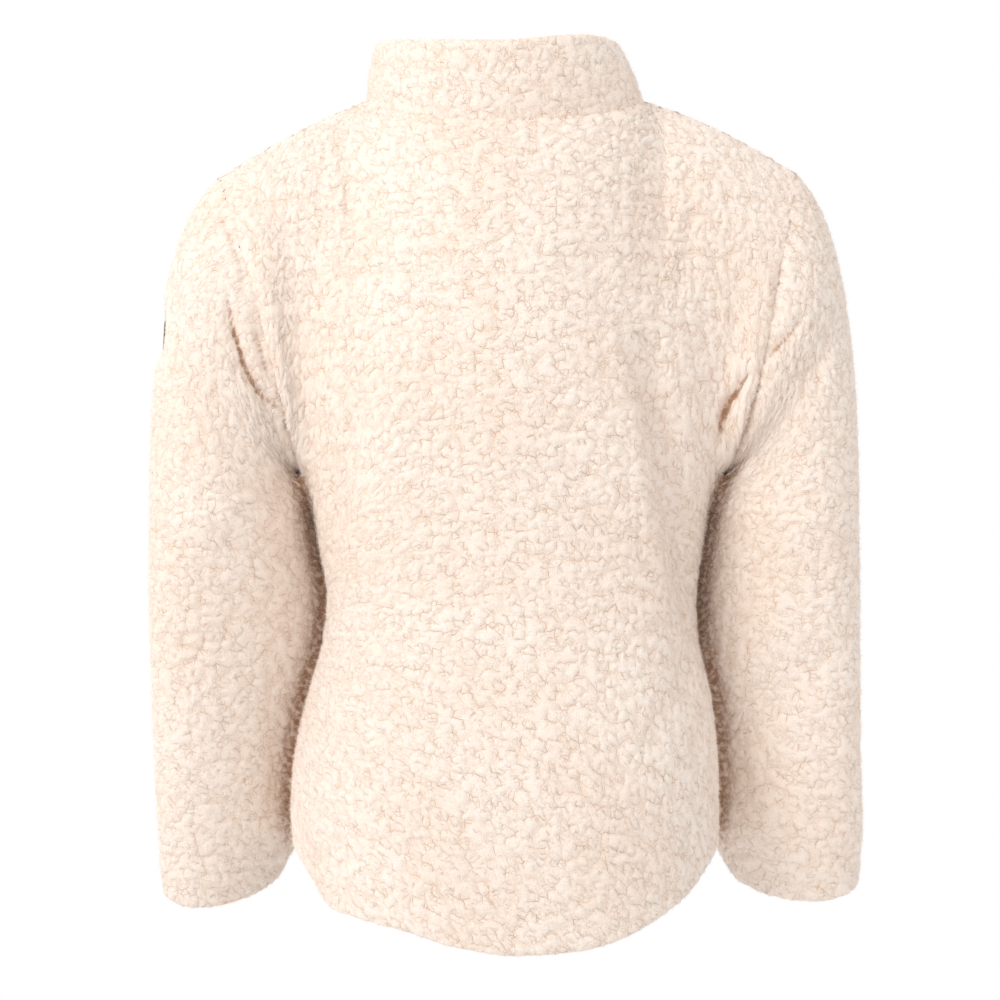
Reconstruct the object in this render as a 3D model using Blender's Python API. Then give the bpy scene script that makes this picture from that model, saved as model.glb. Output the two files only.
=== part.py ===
"""A sherpa fleece jacket, hollow and in the pose in which it is worn, with no wearer.

Frame: metres, +Z up, +X the wearer's left, +Y the wearer's back. The origin is the middle of the
neck, level with the tops of the shoulders, which carry the jacket.

The cloth is a wall of pile fleece. Its outer surface comes from two kinds of smooth surface: the
torso, whose columns run from the hem up to the shoulder seams and the neck, and the sleeves, whose
columns run from the armhole down to the cuff. Panels are pieces of these surfaces, cut apart at
the seams, and each gets its thickness from normals that neighbouring panels share.
"""

import math

import bmesh
import bpy
import numpy as np
from mathutils import Matrix, Vector

# ---------------------------------------------------------------- driving sizes, in metres
WALL = 0.008  # the fleece, from its knitted back to the tips of its pile
SEAM_GAP = 0.0004  # between neighbouring panels
SQUARENESS = 2.35  # exponent of the torso's rounded section, where 2 is an ellipse
SLEEVE_SQUARENESS = 2.05

# The torso's sections: half-width to each side, and depth from the side seams to back and front.
TORSO = {
    "height": (-0.740, -0.660, -0.610, -0.565, -0.520, -0.475, -0.430, -0.385, -0.340, -0.300),
    "left": (0.1840, 0.1855, 0.1870, 0.1830, 0.1725, 0.1600, 0.1560, 0.1640, 0.1700, 0.1740),
    "right": (0.1850, 0.1870, 0.1870, 0.1855, 0.1800, 0.1700, 0.1680, 0.1740, 0.1800, 0.1840),
    "back": (0.1380, 0.1370, 0.1350, 0.1300, 0.1220, 0.1140, 0.1090, 0.1080, 0.1110, 0.1150),
    "front": (0.1330, 0.1340, 0.1350, 0.1350, 0.1335, 0.1315, 0.1305, 0.1320, 0.1350, 0.1370),
}

# How far the hem hangs below its height at the side seams. "across" is the share of the half-width.
HEM_HEIGHT = -0.650
HEM_DROP = {
    "across": (0.00, 0.25, 0.50, 0.70, 0.83, 0.92, 1.00),
    "back left": (0.0800, 0.0720, 0.0590, 0.0510, 0.0420, 0.0180, 0.0000),
    "back right": (0.0800, 0.0785, 0.0700, 0.0530, 0.0370, 0.0190, 0.0000),
    "front": (0.0100, 0.0095, 0.0080, 0.0050, 0.0025, 0.0008, 0.0000),
}

# Where each armhole starts and ends, and which way its back and front halves leave and arrive.
ARMHOLE = {
    "left": {
        "pit": (0.181, 0.000, -0.325),
        "shoulder": (0.250, 0.004, -0.066),
        "leave": (0.000, 0.260, 0.040),
        "arrive": (0.045, -0.210, 0.035),
    },
    "right": {
        "pit": (0.191, 0.000, -0.325),
        "shoulder": (0.254, 0.004, -0.062),
        "leave": (0.070, 0.260, 0.040),
        "arrive": (0.015, -0.210, 0.035),
    },
}
PIT_FLARE_HEIGHT = 0.016  # the side turns outward over this height below the pit
SHOULDER_RISE = {"left": 0.004, "right": 0.006}  # of the middle of the seam over a straight line

# The neck: half an ellipse behind and half in front of the points where the shoulders meet it.
NECK_HALF_WIDTH = 0.1215
NECK_SIDE_HEIGHT = 0.002
NECK_BACK = (0.075, -0.024)  # depth and height at the middle of the back
NECK_FRONT = (0.082, -0.078)
NECK_SHARE = 0.5  # of a half panel's columns, counted from the middle, that end at the neck

# Tangents of the columns above the pit, at their lower and upper ends, for the back. The front's
# point the other way in Y. "turn" is 0 at the side, 0.5 at the side of the neck and 1 in the middle.
COLUMN_LEAVE = (0.000, 0.030, 0.280)
CORNER_SPREAD = 0.17  # of turn, over which the corner between shoulder and neck is rounded below them
CORNER_REACH = 0.30  # of rise, down to which that corner shows
COLUMN_ARRIVE = {
    "turn": (0.00, 0.25, 0.36, 0.44, 0.50, 0.56, 0.64, 0.76, 0.88, 1.00),
    "out": (0.020, 0.000, -0.020, -0.050, -0.085, -0.110, -0.110, -0.080, -0.040, 0.000),
    "over": (-0.230, -0.230, -0.210, -0.180, -0.145, -0.105, -0.100, -0.115, -0.128, -0.130),
    "up": (0.020, 0.022, 0.035, 0.055, 0.078, 0.100, 0.125, 0.155, 0.185, 0.200),
}

# The sleeves' sections below the pit, each an oval. Its inner edge is clear of the torso by
# "clear" and lies forward of its middle by "turned"; its back is tipped down by "tip" degrees, and
# its inner edge is raised by "raised".
SLEEVES = {
    "left": {
        "height": (-0.360, -0.420, -0.500, -0.580, -0.640, -0.688),
        "clear": (0.0060, 0.0040, 0.0040, 0.0050, 0.0150, 0.0360),
        "outer": (0.3100, 0.3105, 0.3095, 0.3080, 0.3070, 0.3050),
        "middle": (-0.004, -0.012, -0.024, -0.036, -0.046, -0.054),
        "turned": (0.024, 0.034, 0.036, 0.034, 0.028, 0.018),
        "depth": (0.0740, 0.0640, 0.0570, 0.0530, 0.0490, 0.0450),
        "tip": (6.0, 9.0, 12.0, 15.0, 20.0, 29.0),
        "raised": (0.000, 0.000, 0.000, 0.001, 0.003, 0.007),
    },
    "right": {
        "height": (-0.360, -0.420, -0.500, -0.580, -0.640, -0.684),
        "clear": (0.0060, 0.0040, 0.0040, 0.0050, 0.0150, 0.0360),
        "outer": (0.3080, 0.3090, 0.3105, 0.3130, 0.3160, 0.3150),
        "middle": (-0.004, -0.012, -0.024, -0.036, -0.046, -0.054),
        "turned": (0.024, 0.034, 0.036, 0.034, 0.028, 0.018),
        "depth": (0.0740, 0.0640, 0.0570, 0.0530, 0.0490, 0.0450),
        "tip": (6.0, 9.0, 12.0, 15.0, 19.0, 28.0),
        "raised": (0.000, 0.000, 0.000, 0.001, 0.002, 0.003),
    },
}
SLEEVE_CLEAR = 0.0035  # least space between a sleeve and the torso beside it
CLEAR_BELOW_PIT = 0.035  # over which that space opens
SLEEVE_FULLNESS = {"left": 1.0, "right": 0.9}  # of the cap
# Tangents of a sleeve's columns where they leave the armhole, and how long those are that arrive at
# the first section. "round" is 0 at the pit, 0.25 at the back, 0.5 on top and 0.75 at the front.
SLEEVE_CAP = {
    "round": (0.000, 0.125, 0.250, 0.375, 0.500, 0.625, 0.750, 0.875, 1.000),
    "out": (0.030, 0.060, 0.105, 0.145, 0.170, 0.150, 0.120, 0.085, 0.030),
    "back": (0.000, 0.050, 0.050, 0.020, 0.000, -0.020, -0.045, -0.030, 0.000),
    "down": (0.000, 0.040, 0.080, 0.110, 0.120, 0.110, 0.080, 0.025, 0.000),
    "arrive": (0.060, 0.100, 0.180, 0.260, 0.300, 0.260, 0.180, 0.100, 0.060),
}

# The collar's top edge. Its middle lies to the wearer's left of the neck's.
COLLAR_TOP_HALF_WIDTH = 0.1050
COLLAR_TOP_SHIFT = 0.0070
COLLAR_TOP_SIDE_HEIGHT = 0.0540
COLLAR_TOP_BACK = (0.084, 0.0440)  # depth and height at the middle of the back
COLLAR_TOP_FRONT = (0.100, -0.0120)
COLLAR_TOP_LIFT = 0.005  # of its top behind the right ear
COLLAR_BULGE = 0.002  # outward, half way up
COLLAR_WALL = 0.011  # two layers of fleece, turned over at the top

# Soft folds, seen from behind (facing 1) or from the front (facing -1): a trough from one point to
# another, with its half-width and depth. A negative depth is a ridge.
FOLD_COLUMNS = ("facing", "from_x", "from_z", "to_x", "to_z", "width", "depth")
FOLDS = (
    (1, -0.110, -0.215, -0.158, -0.440, 0.017, 0.0110),
    (1, -0.075, -0.240, -0.128, -0.470, 0.020, -0.0040),
    (1, 0.128, -0.230, 0.150, -0.420, 0.017, 0.0055),
    (1, 0.060, -0.120, 0.045, -0.400, 0.040, 0.0050),
    (1, -0.150, -0.440, -0.168, -0.580, 0.018, 0.0045),
    (1, 0.190, -0.150, 0.172, -0.300, 0.012, 0.0050),
    (1, -0.205, -0.150, -0.185, -0.290, 0.012, 0.0050),
    (1, 0.285, -0.220, 0.205, -0.330, 0.016, 0.0050),
    (1, -0.290, -0.190, -0.228, -0.300, 0.016, 0.0065),
    (1, 0.290, -0.420, 0.190, -0.500, 0.018, 0.0035),
    (1, -0.295, -0.470, -0.205, -0.540, 0.018, 0.0035),
    (-1, 0.115, -0.215, 0.150, -0.430, 0.018, 0.0080),
    (-1, -0.115, -0.215, -0.155, -0.430, 0.018, 0.0080),
    (-1, 0.070, -0.440, 0.165, -0.540, 0.020, 0.0045),
    (-1, -0.060, -0.480, -0.170, -0.570, 0.020, 0.0045),
    (-1, 0.280, -0.300, 0.205, -0.370, 0.016, 0.0055),
    (-1, -0.285, -0.300, -0.210, -0.370, 0.016, 0.0055),
    (-1, 0.295, -0.440, 0.200, -0.480, 0.016, 0.0050),
    (-1, -0.295, -0.440, -0.205, -0.490, 0.016, 0.0050),
)

# How finely the solids follow the surfaces.
HALF_COLUMNS = 16  # of half a back, or of one front
LOW_ROWS = 15  # from the hem up to the pit
HIGH_ROWS = 12  # from the pit up to the shoulder
CAP_ROWS = 9  # of a sleeve, from the armhole to its first section
ARM_ROWS = 14  # of a sleeve, from there to the cuff
COLLAR_ROWS = 5
CROWDING = 1.5  # rows crowd towards the pit by this power

# The patch on the wearer's left upper arm. Its stitches hold the pile down to a flat seat.
PATCH_RADIUS = 0.025
PATCH_THICKNESS = 0.0016
PATCH_CENTRE = (0.2975, 0.004, -0.206)  # of the seat
PATCH_FACING = (0.995, 0.080, 0.050)
PATCH_FIT = 0.0004  # between the patch and its seat
PATCH_ROOM = 0.0008  # around the patch
PATCH_SIDES = 40

# The zip. Its tapes lie behind the fronts, whose edges stand apart to show its teeth.
ZIP_HALF_OPENING = 0.0070
TAPE_FROM, TAPE_TO = 0.0029, 0.0160
TAPE_THICKNESS = 0.0010
CHAIN_HALF_WIDTH = 0.0025
CHAIN_THICKNESS = 0.0026
ZIP_FIT = 0.0004  # between the fleece and the tape behind it, and along the zip
BOX_LENGTH = 0.009  # of the block that holds the zip's lower ends
BOX_HALF_WIDTH = 0.0058
BOX_THICKNESS = 0.0042
SLIDER_BELOW_TOP = 0.013
SLIDER = {
    "half_width": 0.0048,
    "below": 0.0070,
    "above": 0.0060,
    "mouth": 0.0018,  # half the space between its plates
    "plate": 0.0014,
    "post": 0.0012,
    "lug_half_width": 0.0009,
    "lug_foot": 0.0010,
    "lug_reach": 0.0040,
    "lug_clear": 0.0021,
    "lug_bar": 0.0011,
}
PULL = {
    "length": 0.034,
    "half_width": 0.0040,
    "thickness": 0.0012,
    "eye_half_width": 0.0022,
    "eye_length": 0.0052,
}


# ---------------------------------------------------------------- smooth curves
def through(knots, values, at):
    """The smooth curve through the knots, with the slope of each knot's two neighbours."""
    knots, values = np.asarray(knots, float), np.asarray(values, float)
    if knots[0] > knots[-1]:
        knots, values = knots[::-1], values[::-1]
    slopes = np.gradient(values, knots)
    at = np.clip(at, knots[0], knots[-1])
    i = np.clip(np.searchsorted(knots, at) - 1, 0, len(knots) - 2)
    span = knots[i + 1] - knots[i]
    t = (at - knots[i]) / span
    return (
        (2 * t**3 - 3 * t**2 + 1) * values[i]
        + (t**3 - 2 * t**2 + t) * span * slopes[i]
        + (3 * t**2 - 2 * t**3) * values[i + 1]
        + (t**3 - t**2) * span * slopes[i + 1]
    )


def hermite(start, leave, end, arrive, t):
    """Points on the cubic from start to end with these tangents. All are arrays of points."""
    t = t[..., None]
    return (
        (2 * t**3 - 3 * t**2 + 1) * start
        + (t**3 - 2 * t**2 + t) * leave
        + (3 * t**2 - 2 * t**3) * end
        + (t**3 - t**2) * arrive
    )


def smooth_step(low, high, at):
    t = np.clip((at - low) / (high - low), 0, 1)
    return t * t * (3 - 2 * t)


def point(x, y, z):
    return np.stack(np.broadcast_arrays(x, y, z), axis=-1).astype(float)


def unit(vectors):
    return vectors / np.maximum(np.linalg.norm(vectors, axis=-1, keepdims=True), 1e-12)


# ---------------------------------------------------------------- the torso's surface
def torso_low(side, half, climb, turn):
    """Below the pit. climb is 0 at the hem and 1 at the pit, turn 0 at the side and 1 in the middle."""
    angle = turn * math.pi / 2
    across = np.cos(angle) ** (2 / SQUARENESS)
    out = np.sin(angle) ** (2 / SQUARENESS)
    drop_name = "front" if half == "front" else f"back {side}"
    hem = HEM_HEIGHT - through(HEM_DROP["across"], HEM_DROP[drop_name], across)
    pit_x, _, pit_z = ARMHOLE[side]["pit"]
    z = hem + (pit_z - hem) * climb
    width = through(TORSO["height"], TORSO[side], z)
    depth = through(TORSO["height"], TORSO[half], z)
    middle_x = ZIP_HALF_OPENING if half == "front" else 0.0
    width_at_pit = through(TORSO["height"], TORSO[side], pit_z)
    flare = (pit_x - width_at_pit) * np.exp(-(((pit_z - z) / PIT_FLARE_HEIGHT) ** 2))
    x = middle_x + (width - middle_x) * across + flare * np.exp(-((turn / 0.14) ** 2))
    y = depth * out * (1 if half == "back" else -1)
    return point(x, y, z)


def neck_edge(half, turn):
    """Where a column ends at the neck, for turn from 0 at the shoulder to 1 in the middle."""
    angle = turn * math.pi / 2
    depth, low = NECK_BACK if half == "back" else NECK_FRONT
    middle_x = ZIP_HALF_OPENING if half == "front" else 0.0
    x = middle_x + (NECK_HALF_WIDTH - middle_x) * np.cos(angle)
    y = depth * np.sin(angle) * (1 if half == "back" else -1)
    z = NECK_SIDE_HEIGHT + (low - NECK_SIDE_HEIGHT) * np.sin(angle) ** 1.4
    return point(x, y, z)


def top_edge(side, half, turn):
    """The shoulder seam, from the armhole, and then the neck."""
    shoulder = np.array(ARMHOLE[side]["shoulder"])
    neck_side = np.array((NECK_HALF_WIDTH, 0.0, NECK_SIDE_HEIGHT))
    along = np.clip(turn / (1 - NECK_SHARE), 0, 1)[..., None]
    seam = shoulder + (neck_side - shoulder) * along
    seam[..., 2] += SHOULDER_RISE[side] * np.sin(math.pi * along[..., 0])
    neck = neck_edge(half, np.clip((turn - 1 + NECK_SHARE) / NECK_SHARE, 0, 1))
    return np.where((turn > 1 - NECK_SHARE)[..., None], neck, seam)


def torso(side, half, rise, turn):
    """The torso's outer surface. rise is 0 at the hem, 1 at the pit and 2 at the shoulder and neck."""
    rise, turn = np.broadcast_arrays(np.asarray(rise, float), np.asarray(turn, float))
    facing = np.array((1, 1 if half == "back" else -1, 1))
    start = torso_low(side, half, np.clip(rise, 0, 1), turn)
    end = top_edge(side, half, turn)
    spread = CORNER_SPREAD * np.sin(math.pi * turn)
    rounded = sum(top_edge(side, half, turn + k * spread / 3) for k in range(-3, 4)) / 7
    corner = (end - rounded) * smooth_step(2 - CORNER_REACH, 2, rise)[..., None]
    at_edge = np.exp(-((turn / 0.16) ** 2))[..., None]
    leave = np.array(ARMHOLE[side]["leave"]) * at_edge + np.array(COLUMN_LEAVE) * (1 - at_edge)
    parts = (through(COLUMN_ARRIVE["turn"], COLUMN_ARRIVE[k], turn) for k in ("out", "over", "up"))
    arrive = np.array(ARMHOLE[side]["arrive"]) * at_edge + point(*parts) * (1 - at_edge)
    high = hermite(start, leave * facing, rounded, arrive * facing, np.clip(rise - 1, 0, 1)) + corner
    found = np.where((rise > 1)[..., None], high, start)
    return found * np.array((1 if side == "left" else -1, 1, 1))


# ---------------------------------------------------------------- the sleeves' surface
def armhole(side, around):
    """The armhole seam, up the back from the pit and down the front."""
    behind = torso(side, "back", 1 + 2 * np.clip(around, 0, 0.5), np.zeros_like(around))
    before = torso(side, "front", 1 + 2 * np.clip(1 - around, 0, 0.5), np.zeros_like(around))
    return np.where((around > 0.5)[..., None], before, behind)


def body_edge(side, y, z):
    """How far the torso reaches to this side at a depth and height below the pit."""
    width = through(TORSO["height"], TORSO[side], z)
    back, front = (through(TORSO["height"], TORSO[half], z) for half in ("back", "front"))
    share = np.clip(np.abs(y) / np.where(y > 0, back, front), 0, 0.98)
    return width * (1 - share**SQUARENESS) ** (1 / SQUARENESS)


def sleeve_section(side, height, around):
    """The tipped oval whose middle has this height."""
    table = {k: through(SLEEVES[side]["height"], v, height) for k, v in SLEEVES[side].items()}
    body = body_edge(side, table["middle"] - table["turned"], height)
    inner, outer = body + table["clear"], table["outer"]
    angle = 2 * math.pi * around
    cos, sin = np.cos(angle), np.sin(angle)
    cos = np.sign(cos) * np.abs(cos) ** (2 / SLEEVE_SQUARENESS)
    sin = np.sign(sin) * np.abs(sin) ** (2 / SLEEVE_SQUARENESS)
    x = (inner + outer) / 2 - (outer - inner) / 2 * cos
    y = table["middle"] + table["depth"] * sin * np.cos(np.radians(table["tip"])) - table["turned"] * cos
    z = height - table["depth"] * sin * np.sin(np.radians(table["tip"])) + table["raised"] * cos
    return point(x * (1 if side == "left" else -1), y, z)


def sleeve(side, down, around):
    """A sleeve's outer surface. down is 0 at the armhole, 1 at the first section and 2 at the cuff."""
    down, around = np.broadcast_arrays(np.asarray(down, float), np.asarray(around, float))
    outward = 1 if side == "left" else -1
    first, last = SLEEVES[side]["height"][0], SLEEVES[side]["height"][-1]
    leave = point(
        outward * SLEEVE_FULLNESS[side] * through(SLEEVE_CAP["round"], SLEEVE_CAP["out"], around),
        through(SLEEVE_CAP["round"], SLEEVE_CAP["back"], around),
        -through(SLEEVE_CAP["round"], SLEEVE_CAP["down"], around),
    )
    arrive = point(0 * around, 0 * around, -through(SLEEVE_CAP["round"], SLEEVE_CAP["arrive"], around))
    start, end = armhole(side, around), sleeve_section(side, np.full_like(down, first), around)
    cap = hermite(start, leave, end, arrive, np.clip(down, 0, 1))
    arm = sleeve_section(side, first + (last - first) * np.clip(down - 1, 0, 1), around)
    found = np.where((down > 1)[..., None], arm, cap)
    x, y, z = outward * found[..., 0], found[..., 1], found[..., 2]
    below = smooth_step(0, CLEAR_BELOW_PIT, ARMHOLE[side]["pit"][2] - z)
    least = body_edge(side, y, z) + SLEEVE_CLEAR
    pushed = (x + least + np.sqrt((x - least) ** 2 + 0.003**2)) / 2
    return point(outward * (x + (pushed - x) * below), y, z)


# ---------------------------------------------------------------- the collar's surface
def collar(half, side, up, turn):
    """The collar's outer surface. up is 0 at the neck seam and 1 at the top, turn 0 at the side."""
    up, turn = np.broadcast_arrays(np.asarray(up, float), np.asarray(turn, float))
    outward = 1 if side == "left" else -1
    base = neck_edge(half, turn) * np.array((outward, 1, 1))
    angle = turn * math.pi / 2
    depth, low = COLLAR_TOP_BACK if half == "back" else COLLAR_TOP_FRONT
    y = depth * np.sin(angle) * (1 if half == "back" else -1)
    z = COLLAR_TOP_SIDE_HEIGHT + (low - COLLAR_TOP_SIDE_HEIGHT) * np.sin(angle) ** 1.7
    opening = ZIP_HALF_OPENING if half == "front" else 0.0
    if (side, half) == ("right", "back"):
        z = z + COLLAR_TOP_LIFT * np.sin(2 * angle) ** 2
    shift = COLLAR_TOP_SHIFT * (np.cos(angle) if half == "front" else 1.0)
    x = shift + outward * (opening + (COLLAR_TOP_HALF_WIDTH - opening) * np.cos(angle))
    top = point(x, y, z)
    found = base + (top - base) * up[..., None]
    away = unit(point(found[..., 0], found[..., 1], 0 * up)) * (1, 1, 0)
    at_zip = 1 - smooth_step(0.75, 1.0, turn) if half == "front" else 1.0
    return found + away * (COLLAR_BULGE * np.sin(math.pi * up) * at_zip)[..., None]


# ---------------------------------------------------------------- grids of points
def crowded(count):
    """Shares from 0 to 1 whose steps get shorter towards 1."""
    return 1 - (1 - np.linspace(0, 1, count + 1)) ** CROWDING


def make_grids():
    """Each panel's outer points, as rows of columns. Neighbours share their points at a seam."""
    rise = np.concatenate([crowded(LOW_ROWS), 1 + np.linspace(0, 1, HIGH_ROWS + 1)[1:]])[:, None]
    turn = np.linspace(0, 1, HALF_COLUMNS + 1)[None, :]
    halves = {(s, h): torso(s, h, rise, turn) for s in ("left", "right") for h in ("back", "front")}
    grids = {
        "back": np.concatenate([halves["left", "back"], halves["right", "back"][:, -2::-1]], axis=1),
        "front_left": halves["left", "front"],
        "front_right": halves["right", "front"],
    }
    down = np.concatenate([np.linspace(0, 1, CAP_ROWS + 1), 1 + np.linspace(0, 1, ARM_ROWS + 1)[1:]])
    around = np.linspace(0, 1, 2 * HIGH_ROWS + 1)[None, :]
    for side in ("left", "right"):
        grids[f"sleeve_{side}"] = sleeve(side, down[:, None], around)
    neck_columns = round(HALF_COLUMNS * NECK_SHARE)
    up = np.linspace(0, 1, COLLAR_ROWS + 1)[:, None]
    turn = np.linspace(0, 1, neck_columns + 1)[None, :]
    grids["collar"] = np.concatenate(
        [
            collar("front", "left", up, turn[:, ::-1]),
            collar("back", "left", up, turn[:, 1:]),
            collar("back", "right", up, turn[:, -2::-1]),
            collar("front", "right", up, turn[:, 1:]),
        ],
        axis=1,
    )
    return grids


def outward_normals(grids):
    """A normal for each point, from the faces of every panel that meets there."""
    turned = ("front_left", "sleeve_right")  # whose rows and columns run the other way round
    gathered, keys = {}, {}
    for name, points in grids.items():
        across, along = points[:-1, 1:] - points[1:, :-1], points[1:, 1:] - points[:-1, :-1]
        face = np.cross(across, along) * (-1 if name in turned else 1)
        total = np.zeros_like(points)
        for i in (slice(None, -1), slice(1, None)):
            for j in (slice(None, -1), slice(1, None)):
                total[i, j] += face
        keys[name] = [tuple(k) for k in np.round(points.reshape(-1, 3), 6) + 0.0]
        for key, normal in zip(keys[name], total.reshape(-1, 3)):
            gathered[key] = gathered.get(key, 0) + normal
    return {
        name: unit(np.array([gathered[key] for key in keys[name]]).reshape(points.shape))
        for name, points in grids.items()
    }


def fold_depth(points, normals):
    """How deep the soft folds press each point in."""
    total = np.zeros(points.shape[:-1])
    for values in FOLDS:
        fold = dict(zip(FOLD_COLUMNS, values))
        start = np.array((fold["from_x"], fold["from_z"]))
        run = np.array((fold["to_x"], fold["to_z"])) - start
        flat = points[..., (0, 2)] - start
        along = np.clip(flat @ run / (run @ run), 0, 1)
        away = np.linalg.norm(flat - along[..., None] * run, axis=-1)
        shape = np.exp(-((away / fold["width"]) ** 2)) * (0.35 + 0.65 * np.sin(math.pi * along))
        total += fold["depth"] * shape * np.clip(1.6 * normals[..., 1] * fold["facing"], 0, 1)
    return total


def draw_in(points, ends):
    """The points, with the named edges drawn back from the seam by half its gap."""
    moved = points.copy()
    for end in ends:
        rows = {"bottom": (0, 1), "top": (-1, -2)}.get(end)
        columns = {"first": (0, 1), "last": (-1, -2)}.get(end)
        if rows:
            edge, inside = (moved[i].copy() for i in rows)
            moved[rows[0]] = edge + unit(inside - edge) * SEAM_GAP / 2
        else:
            edge, inside = (moved[:, i].copy() for i in columns)
            moved[:, columns[0]] = edge + unit(inside - edge) * SEAM_GAP / 2
    return moved


# ---------------------------------------------------------------- solids
def material(name, colour, roughness, metallic=0.0):
    made = bpy.data.materials.new(name)
    made.use_nodes = True
    shader = made.node_tree.nodes["Principled BSDF"]
    shader.inputs["Base Color"].default_value = (*colour, 1)
    shader.inputs["Roughness"].default_value = roughness
    shader.inputs["Metallic"].default_value = metallic
    return made


def solid(name, points, faces, finish):
    """An object from points and faces, with its faces turned outward."""
    mesh = bpy.data.meshes.new(name)
    mesh.from_pydata([tuple(p) for p in points], [], faces)
    shape = bmesh.new()
    shape.from_mesh(mesh)
    bmesh.ops.remove_doubles(shape, verts=shape.verts, dist=1e-6)
    bmesh.ops.recalc_face_normals(shape, faces=shape.faces)
    if shape.calc_volume(signed=True) < 0:
        bmesh.ops.reverse_faces(shape, faces=shape.faces)
    shape.to_mesh(mesh)
    shape.free()
    mesh.materials.append(finish)
    made = bpy.data.objects.new(name, mesh)
    bpy.context.scene.collection.objects.link(made)
    mesh.shade_smooth()
    mesh.set_sharp_from_angle(angle=math.radians(50))
    return made


def walled(name, outer, inner, finish, tube=False):
    """A wall between two grids of points. A tube's last column lies on its first."""
    rows, columns = outer.shape[:2]
    count = rows * columns

    def at(layer, i, j):
        return layer * count + i * columns + j % (columns if not tube else columns - 1)

    faces = []
    for i in range(rows - 1):
        for j in range(columns - 1):
            corners = [(i, j), (i, j + 1), (i + 1, j + 1), (i + 1, j)]
            faces.append([at(0, *c) for c in corners])
            faces.append([at(1, *c) for c in reversed(corners)])
    edges = [((i, j), (i, j + 1)) for i in (0, rows - 1) for j in range(columns - 1)]
    if not tube:
        edges += [((i, j), (i + 1, j)) for j in (0, columns - 1) for i in range(rows - 1)]
    points = np.concatenate([outer.reshape(-1, 3), inner.reshape(-1, 3)])
    for one, two in edges:
        # Each is split from its lower outer corner, so that two panels split their seam alike.
        if points[at(0, *one)][2] > points[at(0, *two)][2]:
            one, two = two, one
        faces.append([at(0, *one), at(0, *two), at(1, *two)])
        faces.append([at(0, *one), at(1, *two), at(1, *one)])
    used = sorted({v for face in faces for v in face})
    order = {v: k for k, v in enumerate(used)}
    return solid(name, points[used], [[order[v] for v in face] for face in faces], finish)


def strip(name, sections, finish):
    """A bar through sections of four corners each, closed at both ends."""
    faces = [[3, 2, 1, 0], [4 * len(sections) - 4 + k for k in range(4)]]
    for i in range(len(sections) - 1):
        for k in range(4):
            a, b = 4 * i + k, 4 * i + (k + 1) % 4
            faces.append([a, b, b + 4, a + 4])
    return solid(name, np.concatenate(sections), faces, finish)


# ---------------------------------------------------------------- the cloth panels
SEAMED_EDGES = {
    "back": ("first", "last", "top"),
    "front_left": ("first", "top"),
    "front_right": ("first", "top"),
    "sleeve_left": ("bottom",),
    "sleeve_right": ("bottom",),
    "collar": ("bottom",),
}


def make_walls(fleece):
    """The panels' solids, and the outer and inner points of each before they are drawn in."""
    grids = make_grids()
    normals = outward_normals(grids)
    for name, points in grids.items():
        if name != "collar":
            depth = fold_depth(points, normals[name])
            grids[name] = points - depth[..., None] * normals[name]
    normals = outward_normals(grids)
    inner = {}
    for name, points in grids.items():
        thick = np.full(len(points), WALL)
        if name == "collar":
            thick += (COLLAR_WALL - WALL) * smooth_step(0, 0.5, np.linspace(0, 1, len(points)))
        inner[name] = points - thick[:, None, None] * normals[name]
    for name, points in grids.items():
        edges = SEAMED_EDGES[name]
        tube = name.startswith("sleeve")
        walled(name, draw_in(points, edges), draw_in(inner[name], edges), fleece, tube)
    return grids, inner, normals


def disc(name, radius, low, high, finish):
    """A disc in the patch's place, from low to high along the way it faces."""
    facing = Vector(PATCH_FACING).normalized()
    middle = Vector(PATCH_CENTRE) + facing * (low + high) / 2
    shape = bmesh.new()
    bmesh.ops.create_cone(
        shape,
        cap_ends=True,
        segments=PATCH_SIDES,
        radius1=radius,
        radius2=radius,
        depth=high - low,
        matrix=Matrix.Translation(middle) @ facing.to_track_quat("Z", "Y").to_matrix().to_4x4(),
    )
    mesh = bpy.data.meshes.new(name)
    shape.to_mesh(mesh)
    shape.free()
    mesh.materials.append(finish)
    made = bpy.data.objects.new(name, mesh)
    bpy.context.scene.collection.objects.link(made)
    return made


def make_patch(cloth, fleece):
    """A round patch on the left sleeve, in a seat where its stitches hold the pile down."""
    disc("sleeve_patch", PATCH_RADIUS, PATCH_FIT, PATCH_FIT + PATCH_THICKNESS, cloth)
    seat = disc("patch_seat", PATCH_RADIUS + PATCH_ROOM, 0.0, 0.030, fleece)
    seat.hide_render = True
    seat.display_type = "WIRE"
    press = bpy.data.objects["sleeve_left"].modifiers.new("patch_seat", "BOOLEAN")
    press.operation = "DIFFERENCE"
    press.object = seat


# ---------------------------------------------------------------- the zip
def zip_rows(inner, normals, side):
    """Along the zip: the fleece's inner edge, the way across it and the way out, for each row."""
    edge, beside, out = [], [], []
    first = {"left": (0, 1), "right": (-1, -2)}[side]
    for name, columns in ((f"front_{side}", (-1, -2)), ("collar", first)):
        start = 0 if name != "collar" else 1
        edge.append(inner[name][start:, columns[0]])
        beside.append(inner[name][start:, columns[1]])
        out.append(normals[name][start:, columns[0]])
    edge, beside, out = (np.concatenate(part) for part in (edge, beside, out))
    return edge, unit(beside - edge), unit(out * (0, 1, 1))


def lengths_along(line):
    steps = np.linalg.norm(np.diff(line, axis=0), axis=1)
    return np.concatenate([[0], np.cumsum(steps)])


def cut_along(line, low, high):
    """The rows of line between two lengths along it, with new rows where it is cut. line may hold
    several values a row, of which the first three are the place."""
    along = lengths_along(line[:, :3])
    wanted = np.concatenate([[low], along[(along > low + 1e-4) & (along < high - 1e-4)], [high]])
    return np.stack([np.interp(wanted, along, column) for column in line.T], axis=1)


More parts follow.
